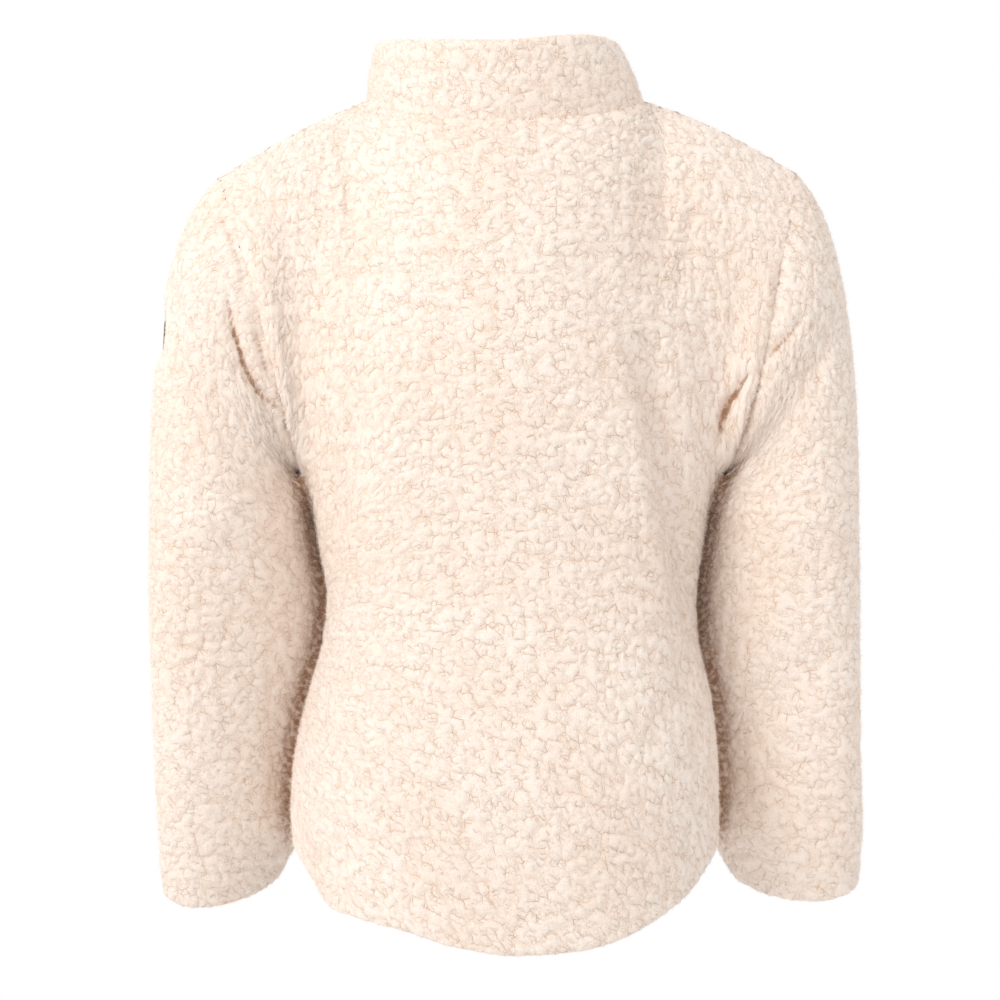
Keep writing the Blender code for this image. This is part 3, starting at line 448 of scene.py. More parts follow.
# Half a zip tooth's outline, as places across the zip, from its tape, and along the zip.
TOOTH_OUTLINE = (
    (0.0025, 0.00062), (0.0014, 0.00060), (0.0007, 0.00040),
    (0.0001, 0.00042), (-0.0004, 0.00058), (-0.0008, 0.00030),
)
TOOTH_ROUND, TOOTH_TAPER = 0.0004, 0.82  # its rounded height, and its share of size at the end of it

PATCH_STEPS = 240  # around the patch
PATCH_CORDS = 80
# Rings out from the patch's middle, as (share of radius, share of thickness, cord relief).
PATCH_PROFILE = (
    (0.30, 0.60, 0.0), (0.60, 0.60, 0.0), (0.86, 0.60, 0.0), (0.89, 0.62, 0.0),
    (0.905, 0.80, 0.00006), (0.93, 0.94, 0.00010), (0.955, 0.94, 0.00010), (0.98, 0.76, 0.00008),
    (0.995, 0.45, 0.0), (0.995, 0.0, 0.0),
)
PATCH_CORD_SLANT = 2500  # by which the cords' waves shift over the patch's radius, in radians
PATCH_BORDER_FROM = 0.88  # of its radius
PATCH_TOP = 0.62  # of its thickness, where the stitches lie
PATCH_STITCHES = 34
PATCH_STITCH_RING = 0.0205
PATCH_STITCH = (0.6, 0.0004, 0.0005)  # share of its arc that it covers, half-width and height

# Loose fibres on the pile. They lean to all sides and down, and keep clear of the zip.
FIBRES_PER_AREA = 200000
FIBRE_LENGTHS = (0.0016, 0.0040)
FIBRE_WIDTH = 0.00028
FIBRE_LEAN = 0.55
FIBRE_DROOP = 0.15
FIBRE_LEAST_RISE = 0.25  # of its length, away from the cloth
FIBRES_OFF_ZIP = 0.012

# Creases in the cloth, in millimetres, seen from behind (facing 1) or from the front (facing -1).
# Columns: facing, half-width to the left and to the right of its line, going along it, depth, and
# the line's (x, z) points.
CREASES = (
    (1, 4.5, 5, 7, ((241, -169), (238, -182), (233, -203), (224, -232), (212, -254), (191, -277))),
    (1, 6, 7, 3, ((215, -255), (207, -267), (201, -280), (196, -292))),
    (1, 4, 4, 3.5, ((217, -192), (212, -215), (206, -237), (199, -256))),
    (1, 3, 3, 2.6, ((251, -88), (244, -109), (236, -125), (229, -147), (222, -176))),
    (1, 5, 5, 2.5, ((246, -209), (236, -230), (220, -249), (201, -261))),
    (1, 7, 12, 2.5, ((189, -323), (210, -349), (229, -366), (244, -401))),
    (1, 4, 4, 2.5, ((-247, -125), (-236, -149), (-233, -188), (-238, -207))),
    (1, 4.5, 4.5, 4.5, ((-256, -192), (-243, -207), (-223, -230))),
    (1, 4.5, 4.5, 8, ((-214, -237), (-204, -247), (-192, -265), (-187, -283), (-186, -302))),
    (1, 2.4, 3, 2.2, ((-104, -202), (-121, -213), (-135, -223), (-156, -246))),
    (1, 10, 22, 9.5, ((-122, -202), (-127, -230), (-135, -289), (-145, -349), (-156, -418), (-168, -487))),
    (1, 9, 11, -6, ((-92, -202), (-103, -263), (-116, -332), (-129, -401), (-137, -453))),
    (1, 8, 26, 3.5, ((151, -409), (144, -366), (134, -306), (123, -254))),
    (1, 9, 9, 2.8, ((-163, -99), (-154, -144), (-141, -192))),
    (1, 10, 14, 2.5, ((-47, -133), (-82, -168), (-106, -202))),
    (1, 8, 12, 2.5, ((-168, -470), (-141, -513), (-116, -573))),
    (-1, 6, 6, 6, ((240, -185), (226, -240), (205, -290), (186, -335))),
    (-1, 4.5, 4.5, 7, ((212, -270), (200, -290), (191, -318))),
    (-1, 6, 6, 6, ((-242, -200), (-226, -250), (-202, -295), (-186, -335))),
    (-1, 4.5, 4.5, 8, ((-234, -262), (-208, -285), (-193, -320), (-184, -352))),
    (-1, 6, 24, 6, ((112, -225), (128, -290), (140, -350), (150, -420))),
    (-1, 24, 6, 5, ((-105, -235), (-124, -305), (-140, -360), (-156, -405))),
    (-1, 4, 9, 3, ((52, -128), (85, -165), (121, -216))),
    (-1, 4, 9, 3, ((-60, -140), (-88, -178), (-118, -226))),
    (-1, 8, 12, 3, ((158, -470), (126, -530), (110, -600))),
    (-1, 8, 12, 3, ((-160, -490), (-130, -545), (-116, -585))),
)
CREASE_SHADE_WIDTH = 0.0055  # creases wider than this on either side get no painted shade
CREASE_FULLNESS = 0.6  # exponent of its depth along its line: the lower, the longer it stays deep
CREASE_WRAP = 2.0  # the higher, the further around the jacket's sides it stays deep
DEEP_CREASE = 0.007  # a crease of this depth gets its full painted shade
CREASE_SHADE_REACH = 0.55  # of a crease's half-width, over which its painted shade reaches


# ------------------------------ fine grids of points
def steps(count, at_start=False, at_end=False):
    """Shares from 0 to 1 in even steps, with extra ones beside a rounded edge."""
    shares = np.linspace(0, 1, count + 1)
    near = np.array(EDGE_STEPS[1:]) / count
    extra = [near] * at_start + [1 - near] * at_end
    return np.sort(np.concatenate([shares, *extra]))


PANELS = {
    "back": {"free": ("bottom",), "sewn": ("first", "last", "top")},
    "front_left": {"free": ("bottom", "last"), "sewn": ("first", "top"), "turned": True},
    "front_right": {"free": ("bottom", "last"), "sewn": ("first", "top")},
    "sleeve_left": {"free": ("top",), "sewn": ("bottom",), "tube": True},
    "sleeve_right": {"free": ("top",), "sewn": ("bottom",), "tube": True, "turned": True},
    "collar": {"free": ("top", "first", "last"), "sewn": ("bottom",)},
}


def make_grids():
    """Each panel's outer points, as rows of columns."""
    rise = np.concatenate([steps(LOW_STEPS, at_start=True), 1 + steps(HIGH_STEPS)[1:]])[:, None]
    turn = steps(HALF_STEPS)[None, :]
    to_zip = steps(HALF_STEPS, at_end=True)[None, :]
    left, right = torso("left", "back", rise, turn), torso("right", "back", rise, turn)
    grids = {
        "back": np.concatenate([left, right[:, -2::-1]], axis=1),
        "front_left": torso("left", "front", rise, to_zip),
        "front_right": torso("right", "front", rise, to_zip),
    }
    down = np.concatenate([steps(CAP_STEPS), 1 + steps(ARM_STEPS, at_end=True)[1:]])
    around = np.linspace(0, 1, AROUND_STEPS + 1)[None, :]
    for side in ("left", "right"):
        grids[f"sleeve_{side}"] = sleeve(side, down[:, None], around)
    up = steps(COLLAR_STEPS, at_end=True)[:, None]
    turn = steps(NECK_STEPS)[None, :]
    to_zip = steps(NECK_STEPS, at_end=True)[None, :]
    grids["collar"] = np.concatenate(
        [
            collar("front", "left", up, to_zip[:, ::-1]),
            collar("back", "left", up, turn[:, 1:]),
            collar("back", "right", up, turn[:, -2::-1]),
            collar("front", "right", up, to_zip[:, 1:]),
        ],
        axis=1,
    )
    return grids


def normals_of(name, points):
    """The surface's own normals."""
    by_row = np.gradient(points, axis=0)
    by_column = np.gradient(points, axis=1)
    if PANELS[name].get("tube"):
        joint = points[:, 1] - points[:, -2]
        by_column[:, 0], by_column[:, -1] = joint, joint
    return unit(np.cross(by_column, by_row)) * (-1 if PANELS[name].get("turned") else 1)


def from_edges(points):
    """How far each point lies from each edge of its grid, along the grid's lines."""
    found = {}
    for axis, low, high in ((0, "bottom", "top"), (1, "first", "last")):
        lengths = np.linalg.norm(np.diff(points, axis=axis), axis=-1)
        along = np.insert(np.cumsum(lengths, axis=axis), 0, 0, axis=axis)
        found[low] = along
        found[high] = np.take(along, [-1], axis=axis) - along
    return found


def edge_of(grid, edge, inside=0):
    """An edge's points, or those of the row or column this far inside it."""
    last = -1 - inside
    return {
        "bottom": grid[inside], "top": grid[last], "first": grid[:, inside], "last": grid[:, last],
    }[edge]


def over_edge(points, edge):
    """The way past each point of an edge."""
    return unit(edge_of(points, edge) - edge_of(points, edge, 1))


def spread(line, edge):
    """Values along an edge, shaped to meet the whole grid."""
    return line[None] if edge in ("bottom", "top") else line[:, None]


def mitred(grids):
    """Each panel's normals, turned near each seam towards those that its panels share."""
    normals = {name: normals_of(name, points) for name, points in grids.items()}
    sewn = [(name, edge) for name in grids for edge in PANELS[name]["sewn"]]
    shared = {}
    for name, edge in sewn:
        total = edge_of(normals[name], edge).copy()
        for other, its_edge in sewn:
            if other == name:
                continue
            places, others = edge_of(grids[name], edge), edge_of(grids[other], its_edge)
            apart = np.linalg.norm(places[:, None] - others[None], axis=-1)
            nearest = apart.argmin(axis=1)
            meets = apart.min(axis=1) < MEETING
            total += edge_of(normals[other], its_edge)[nearest] * meets[:, None]
        shared[name, edge] = unit(total)
    turned = {}
    for name, own in normals.items():
        away, found = from_edges(grids[name]), own.copy()
        for edge in PANELS[name]["sewn"]:
            share = shape_of(away[edge], MITRE_REACH)[..., None]
            found = unit(found * (1 - share) + spread(shared[name, edge], edge) * share)
        turned[name] = found
    return turned


def fold_depth(points, normals):
    """How deep the soft folds press each point in."""
    total = np.zeros(points.shape[:-1])
    for facing, *sizes in FOLDS:
        from_x, from_z, to_x, to_z, width, depth = np.array(sizes) / 1000
        run = np.array((to_x - from_x, to_z - from_z))
        flat = points[..., (0, 2)] - (from_x, from_z)
        along = np.clip(flat @ run / (run @ run), 0, 1)
        away = np.linalg.norm(flat - along[..., None] * run, axis=-1)
        shape = shape_of(away, width) * (FOLD_ENDS + (1 - FOLD_ENDS) * np.sin(math.pi * along))
        total += depth * shape * np.clip(FOLD_WRAP * normals[..., 1] * facing, 0, 1)
    return total


def lengths_along(line):
    """How far along a line each of its points lies."""
    return np.insert(np.cumsum(np.linalg.norm(np.diff(line, axis=0), axis=1)), 0, 0)


def creases(points, normals):
    """How deep the creases press each point in, and how much shade is painted on it in them. Each is deepest
    in its middle."""
    total, tint = np.zeros((2, *points.shape[:-1]))
    flat = points[..., (0, 2)]
    for facing, *sizes, line in CREASES:
        left, right, depth = np.array(sizes) / 1000
        line = np.array(line) / 1000
        gone = lengths_along(line) / lengths_along(line)[-1]
        nearest, share = np.full(flat.shape[:-1], np.inf), np.zeros(flat.shape[:-1])
        for start, end, share_from, share_to in zip(line, line[1:], gone, gone[1:]):
            run, off = end - start, flat - start
            along = np.clip(off @ run / (run @ run), 0, 1)
            beside = off - along[..., None] * run
            to_left = run[0] * beside[..., 1] - run[1] * beside[..., 0] > 0
            away = np.linalg.norm(beside, axis=-1) / np.where(to_left, left, right)
            share = np.where(away < nearest, share_from + (share_to - share_from) * along, share)
            nearest = np.minimum(nearest, away)
        strength = np.sin(math.pi * np.clip(share, 0, 1)) ** CREASE_FULLNESS
        strength = strength * np.clip(CREASE_WRAP * normals[..., 1] * facing, 0, 1)
        total += depth * shape_of(nearest, 1.0) * strength
        # Narrow creases get painted shade, the more the deeper they are; wide ones get none.
        if max(left, right) < CREASE_SHADE_WIDTH:
            dark = shape_of(nearest, CREASE_SHADE_REACH) * strength * depth / DEEP_CREASE
            tint = np.maximum(tint, np.minimum(dark, 1))
    return total, tint


def across_gaps(grids, normals):
    """How far each sleeve point lies from the torso in front of it, or the other way round, and how
    squarely it faces it."""
    sleeves = [name for name in grids if name.startswith("sleeve")]
    torso_panels = ["back", "front_left", "front_right"]
    found = {name: (np.ones(grid.shape[:-1]), np.zeros(grid.shape[:-1])) for name, grid in grids.items()}
    for side, others in ((sleeves, torso_panels), (torso_panels, sleeves)):
        spots = np.concatenate([grids[name][::2, ::2].reshape(-1, 3) for name in others])
        tree = KDTree(len(spots))
        for k, spot in enumerate(spots):
            tree.insert(spot, k)
        tree.balance()
        for name in side:
            grid = grids[name]
            near = [tree.find(spot) for spot in grid.reshape(-1, 3)]
            apart = np.array([distance for *_, distance in near]).reshape(grid.shape[:-1])
            ahead = unit(np.array([spot for spot, *_ in near]).reshape(grid.shape) - grid)
            squarely = np.clip(GAP_WRAP * np.sum(ahead * normals[name], axis=-1), 0, 1)
            found[name] = apart, squarely
    return found


# ------------------------------ meshes
def add_object(name, data):
    made = bpy.data.objects.new(name, data)
    bpy.context.scene.collection.objects.link(made)
    return made


def dress(made, stands_for=None, body="jacket"):
    """Puts a piece on the body it rides on, and hides the CAD node that it stands for, if one is given."""
    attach(made, body)
    if stands_for:
        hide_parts(stands_for)


def mesh_object(name, points, faces, finishes, finish_of=None, attributes=()):
    """A mesh with materials. attributes are (name, kind, values) for its points."""
    mesh = bpy.data.meshes.new(name)
    mesh.from_pydata(np.asarray(points).tolist(), [], faces)
    for finish in finishes:
        mesh.materials.append(finish)
    if finish_of is not None:
        mesh.polygons.foreach_set("material_index", finish_of)
    for label, kind, values in attributes:
        made = mesh.attributes.new(label, kind, "POINT")
        made.data.foreach_set("value" if kind == "FLOAT" else "vector", np.ravel(values).astype(np.float32))
    mesh.shade_smooth()
    return add_object(name, mesh)


def turn_outward(made):
    """Turns each face of a closed mesh so that it faces outward."""
    shape = bmesh.new()
    shape.from_mesh(made.data)
    bmesh.ops.recalc_face_normals(shape, faces=shape.faces)
    if shape.calc_volume(signed=True) < 0:
        bmesh.ops.reverse_faces(shape, faces=shape.faces)
    shape.to_mesh(made.data)
    shape.free()


def kept(count, step, free_start, free_end):
    """The rows or columns that the coarser back keeps. It keeps each one beside a free edge."""
    dense = len(EDGE_STEPS) + 2
    low = list(range(1, dense)) if free_start else [0]
    high = list(range(count - dense, count - 1)) if free_end else [count - 1]
    between = list(range(low[-1] + step, high[0] - step // 2, step))
    return low + between + high


def rim(outer_line, inner_line, marks):
    """Faces between a fine edge and a coarse one, whose points lie at these marks along the fine one."""
    cuts = [0, *marks[1:-1], len(outer_line) - 1]
    return [
        outer_line[cuts[k] : cuts[k + 1] + 1] + [inner_line[k + 1], inner_line[k]]
        for k in range(len(marks) - 1)
    ]


def shell(name, outer, inner, step, finishes, attributes):
    """A closed shell from a fine outer grid and an inner one that is thinned out."""
    rows, columns = outer.shape[:2]
    panel = PANELS[name]
    free, tube = panel["free"], panel.get("tube")
    width = columns - 1 if tube else columns
    rows_in = kept(rows, step, "bottom" in free, "top" in free)
    columns_in = kept(columns, step, "first" in free, "last" in free)
    width_in = len(columns_in) - 1 if tube else len(columns_in)

    def out(i, j):
        return i * width + j % width

    def back(a, b):
        return rows * width + a * width_in + b % width_in

    piled = [
        [out(i, j), out(i, j + 1), out(i + 1, j + 1), out(i + 1, j)]
        for i in range(rows - 1)
        for j in range(columns - 1)
    ]
    knitted = [
        [back(a, b), back(a + 1, b), back(a + 1, b + 1), back(a, b + 1)]
        for a in range(len(rows_in) - 1)
        for b in range(len(columns_in) - 1)
    ]
    last_row, last_column = len(rows_in) - 1, len(columns_in) - 1
    for i, a in ((0, 0), (rows - 1, last_row)):
        fine = [out(i, j) for j in range(columns)]
        knitted += rim(fine, [back(a, b) for b in range(len(columns_in))], columns_in)
    if not tube:
        for j, b in ((0, 0), (columns - 1, last_column)):
            fine = [out(i, j) for i in range(rows)]
            knitted += rim(fine, [back(a, b) for a in range(len(rows_in))], rows_in)

    def gathered(on_outer, on_inner, size):
        """Values for the outer points and then for the inner ones."""
        over, under = (np.reshape(v, (rows, columns, size)) for v in (on_outer, on_inner))
        under = under[np.ix_(rows_in, columns_in)][:, :width_in]
        return np.concatenate([over[:, :width].reshape(-1, size), under.reshape(-1, size)])

    points = gathered(outer, inner, 3)
    values = [
        (label, kind, gathered(on_outer, on_inner, 1 if kind == "FLOAT" else 3))
        for label, kind, on_outer, on_inner in attributes
    ]
    finish_of = [0] * len(piled) + [1] * len(knitted)
    made = mesh_object(f"fleece_{name}", points, piled + knitted, finishes, finish_of, values)
    turn_outward(made)
    return made


def rounding(name, points, normals, wall):
    """How near each point is to a rounded free edge, 0 at the edge and 1 past the rounding, and
    which way the pile stands there."""
    away, found, stands = from_edges(points), np.ones(points.shape[:-1]), normals
    for edge in PANELS[name]["free"]:
        share = 1 - np.clip(away[edge] / (wall / 2), 0, 1)
        level = np.sqrt(1 - share**2)
        found = found * level
        over = spread(over_edge(points, edge), edge)
        stands = unit(stands * level[..., None] + over * share[..., None])
    return found, stands


def flat_place(name, points):
    """Each point's place on the flat cloth: across it along the rows, and up it by its height, as
    measured along one line that climbs the whole panel."""
    away = from_edges(points)
    kind = name.split("_")[0]
    middle_row = {"sleeve": CAP_STEPS, "collar": 0}.get(kind, PIT_ROW)
    middles = {"sleeve": AROUND_STEPS // 2, "back": HALF_STEPS, "collar": points.shape[1] // 2}
    across = away["first"] - away["first"][:, [middles.get(kind, -1)]]
    if kind == "collar":
        along = np.broadcast_to(away["bottom"].mean(axis=1, keepdims=True), across.shape)
    else:
        down = -1 if kind == "sleeve" else 1
        climbing = np.abs(points[middle_row, :, 0]) if kind == "sleeve" else points[-1, :, 2]
        line = climbing.argmax()
        height = np.maximum.accumulate(down * points[:, line, 2])
        length = away["bottom"][:, line] - away["bottom"][middle_row, line]
        height, length = (np.concatenate([[v[0] - 0.1], v, [v[-1] + 0.1]]) for v in (height, length))
        along = down * np.interp(down * points[..., 2], height, length)
    if name == "back":
        arched = BACK_ARCH * across**2 * shape_of(along + BACK_ARCH_BELOW_PIT, BACK_ARCH_REACH)
        tilted = BACK_TILT * across * smooth_step(*BACK_TILT_FROM, -along)
        along = along + arched + tilted
    shift = PANEL_SHIFT * list(PANELS).index(name)
    return point(across + shift, along + shift, 0.0)


def pressed_at_patch(points):
    """Points pushed down to the patch's seat, and how much of their pile each keeps."""
    facing = unit(np.array(PATCH_FACING))
    off = points - np.array(PATCH_CENTRE)
    height = off @ facing
    away = np.linalg.norm(off - height[..., None] * facing, axis=-1)
    near = np.abs(height) < PATCH_RADIUS
    radius = PATCH_RADIUS + PATCH_ROOM
    backward = np.clip(off[..., 1] / np.maximum(away, SAME_SPOT), 0, 1)
    reach = PATCH_PRESS + PATCH_PRESS_BEHIND * backward**2
    share = (1 - smooth_step(0, 1, (away - radius) / reach)) * near
    return points - facing * (np.maximum(height, 0) * share)[..., None], 1 - share


def lapped(name, points):
    """Points whose sewn edges reach a little past their seam, so that neighbours close on it. A
    body panel's edge reaches further at some lumps than at others."""
    away, reached = from_edges(points), points
    for edge in PANELS[name]["sewn"]:
        on_edge = edge_of(points, edge)
        lap = np.full(len(on_edge), SLEEVE_LAP)
        if not name.startswith("sleeve"):
            run = lengths_along(on_edge)
            waves = sum(np.sin(2 * math.pi * run / length + shift) for length, shift in SEAM_WAVES)
            lap = SEAM_LAP + SEAM_WAVE_REACH * waves
        from_pit = np.abs(on_edge[:, 2] - ARMHOLE["left"]["pit"][2])
        lap = lap + PIT_LAP * shape_of(from_pit, PIT_LAP_REACH)
        over = spread(over_edge(points, edge) * lap[:, None], edge)
        reached = reached + over * shape_of(away[edge], SEAM_REACH)[..., None]
    return reached


def wall_of(name, rows):
    """A panel's thickness at each of its rows. The collar's grows from its seam."""
    thicker = smooth_step(0, COLLAR_THICKENS, np.linspace(0, 1, rows)) if name == "collar" else np.zeros(rows)
    return WALL + (COLLAR_WALL - WALL) * thicker


def zip_middle(grids):
    """The zip's middle line, level with the middle of its tapes, and the way out at each row."""
    edges, out = {"left": [], "right": []}, []
    beside_zip = {
        "left": (("front_left", -1, 0), ("collar", 0, 1)),
        "right": (("front_right", -1, 0), ("collar", -1, 1)),
    }
    for side, lines in beside_zip.items():
        for name, line, start in lines:
            points = grids[name][start:]
            normals = normals_of(name, grids[name])[start:, line]
            wall = wall_of(name, len(grids[name]))[start:, None]
            edges[side].append(points[:, line] - wall * normals)
            if side == "left":
                out.append(normals)
    middle = (np.concatenate(edges["left"]) + np.concatenate(edges["right"])) / 2 * (0, 1, 1)
    out = unit(np.concatenate(out) * (0, 1, 1))
    return np.concatenate([middle - out * (ZIP_FIT + TAPE_THICKNESS / 2), out], axis=1)


def make_teeth(rows, finish):
    """The zip's teeth, which reach past its middle line from the left and the right in turn."""
    along, half_pitch = lengths_along(rows[:, :3]), TOOTH_PITCH / 2
    at = np.arange(BOX_LENGTH + ZIP_FIT + half_pitch, along[-1] - TEETH_BELOW_TOP - half_pitch, half_pitch)
    values = np.stack([np.interp(at, along, column) for column in rows.T], axis=1)
    place, out = values[:, :3], unit(values[:, 3:])
    up = np.cross(out, (1, 0, 0))
    outline = np.array(TOOTH_OUTLINE)
    outline = np.concatenate([outline, outline[::-1] * (1, -1)])
    middle, count = outline.mean(axis=0), len(outline)
    half = CHAIN_THICKNESS / 2
    layers = ((-half, TOOTH_TAPER), (TOOTH_ROUND - half, 1), (half - TOOTH_ROUND, 1), (half, TOOTH_TAPER))
    points, faces = [], []
    for k, (spot, ahead, off) in enumerate(zip(place, up, out)):
        hand = 1 if k % 2 else -1
        start = len(points)
        for height, share in layers:
            ring = middle + (outline - middle) * share
            points.extend(spot + off * height + ahead * v + np.array((hand * u, 0, 0)) for u, v in ring)
        for low in range(start, start + 3 * count, count):
            for j in range(count):
                after = (j + 1) % count
                face = [low + j, low + after, low + count + after, low + count + j]
                faces.append(face[::hand])
        faces.append([start + j for j in range(count)][::-hand])
        faces.append([start + 3 * count + j for j in range(count)][::hand])
    made = mesh_object("zip_teeth", points, faces, [finish])
    turn_outward(made)
    dress(made, "zip_chain")


def make_patch(field, border, thread):
    """A round twill patch with a corded border and a ring of stitches."""
    facing = unit(np.array(PATCH_FACING))
    beside = unit(np.cross((0, 0, 1), facing))
    above = np.cross(facing, beside)

    def lift(radius, height, angle):
        out = beside * math.cos(angle) + above * math.sin(angle)
        return np.array(PATCH_CENTRE) + facing * height + radius * out

    points, faces, finish_of = [], [], []
    for radius, height, ridge in PATCH_PROFILE:
        for angle in np.linspace(0, 2 * math.pi, PATCH_STEPS, endpoint=False):
            twist = ridge * math.sin(PATCH_CORDS * angle + radius * PATCH_CORD_SLANT)
            points.append(lift(radius * PATCH_RADIUS, height * PATCH_THICKNESS + PATCH_FIT + twist, angle))
    for ring, (radius, *_) in enumerate(PATCH_PROFILE[:-1]):
        for j in range(PATCH_STEPS):
            a, b = ring * PATCH_STEPS + j, ring * PATCH_STEPS + (j + 1) % PATCH_STEPS
            faces.append([a, b, b + PATCH_STEPS, a + PATCH_STEPS])
            finish_of.append(1 if radius > PATCH_BORDER_FROM else 0)
    faces.append(list(range(PATCH_STEPS)))
    faces.append(list(range(len(points) - PATCH_STEPS, len(points))))
    finish_of += [0, 1]
    made = mesh_object("patch_field", points, faces, [field, border], finish_of)
    turn_outward(made)
    dress(made, "sleeve_patch")

    stitches, sides = [], []
    covered, wide, high = PATCH_STITCH
    half = covered * math.pi / PATCH_STITCHES
    for k in range(PATCH_STITCHES):
        middle, start = 2 * math.pi * k / PATCH_STITCHES, len(stitches)
        for angle, raised in ((-half, 0), (-half / 2, high), (half / 2, high), (half, 0)):
            for off, lifted in ((-wide, 0), (0, raised), (wide, 0)):
                height = PATCH_FIT + PATCH_TOP * PATCH_THICKNESS + lifted
                stitches.append(lift(PATCH_STITCH_RING + off, height, middle + angle))
        corners = (start + 3 * rank + side for rank in range(3) for side in range(2))
        sides += [[a, a + 3, a + 4, a + 1] for a in corners]
    sewn = mesh_object("patch_stitches", stitches, sides, [thread])
    dress(sewn)


def finished_copy(name, finish, radius=0.0):
    """A CAD node's form again, with its sharp edges rounded where a radius is given."""
    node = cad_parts[name]
    shape = bmesh.new()
    shape.from_mesh(node.data)
    shape.transform(node.matrix_world)
    bmesh.ops.remove_doubles(shape, verts=shape.verts, dist=SAME_SPOT)
    if radius:
        flat = [edge for edge in shape.edges if edge.calc_face_angle(0) < FLAT_ANGLE]
        bmesh.ops.dissolve_edges(shape, edges=flat, use_verts=True)
        sharp = [edge for edge in shape.edges if edge.calc_face_angle(0) > SHARP_ANGLE]
        bmesh.ops.bevel(shape, geom=sharp, offset=radius, segments=3, affect="EDGES", profile=0.6)
    mesh = bpy.data.meshes.new(f"{name}_finished")
    shape.to_mesh(mesh)
    shape.free()
    if radius:
        mesh.shade_smooth()
    mesh.materials.clear()
    mesh.materials.append(finish)
    made = add_object(mesh.name, mesh)
    dress(made, name, "zip_pull" if name == "zip_pull" else "jacket")
    return made


def make_fleece(pile_finish, back_finish):
    """The cloth panels. Returns them, and the zip's middle line."""
    grids = make_grids()
    for name, normal in mitred(grids).items():
        if name != "collar":
            grids[name] = grids[name] - fold_depth(grids[name], normal)[..., None] * normal
    zip_line = zip_middle(grids)
    crease_shades = {}
    for name, normal in mitred(grids).items():
        depth, crease_shades[name] = creases(grids[name], normal)
        if name != "collar":
            grids[name] = grids[name] - depth[..., None] * normal
    normals = mitred(grids)
    gaps = across_gaps(grids, normals)
    made = {}
    for name, points in grids.items():
        wall = np.broadcast_to(wall_of(name, len(points))[:, None], points.shape[:-1])
        round_share, stands = rounding(name, points, normals[name], wall)
        sunk = wall / 2 * (1 - round_share)
        away = from_edges(points)
        groove = SLEEVE_GROOVE if name.startswith("sleeve") else SEAM_GROOVE
        groove = sum(shape_of(away[edge], SEAM_REACH) for edge in PANELS[name]["sewn"]) * groove
        apart, squarely = gaps[name]
        swell = squarely * (apart / 2 + STANDS_PROUD) * smooth_step(*GAP_CLOSES, apart)
        outer = lapped(name, points) + (swell - sunk - groove)[..., None] * normals[name]
        inner = points - (wall - sunk)[..., None] * normals[name]
        pile = EDGE_PILE + (1 - EDGE_PILE) * round_share
        if name == "sleeve_left":
            outer, kept_pile = pressed_at_patch(outer)
            pile = pile * kept_pile
        place = flat_place(name, points)
        # Painted shade in narrow creases and in the gap between a sleeve and the torso.
        deep = np.maximum(crease_shades[name], shape_of(apart, GAP_SHADE_REACH) * squarely)
        two_faced = name == "collar"
        attributes = (
            ("deep", "FLOAT", deep, 0 * deep),
            ("place", "FLOAT_VECTOR", place, place * (1, 1, 0)),
            ("stands", "FLOAT_VECTOR", stands, -stands),
            ("pile", "FLOAT", pile, pile * two_faced),
        )
        step = 1 if two_faced else BACKING_STEP
        finishes = [pile_finish, pile_finish if two_faced else back_finish]
        made[name] = shell(name, outer, inner, step, finishes, attributes)
        dress(made[name], name)
    return made, zip_line


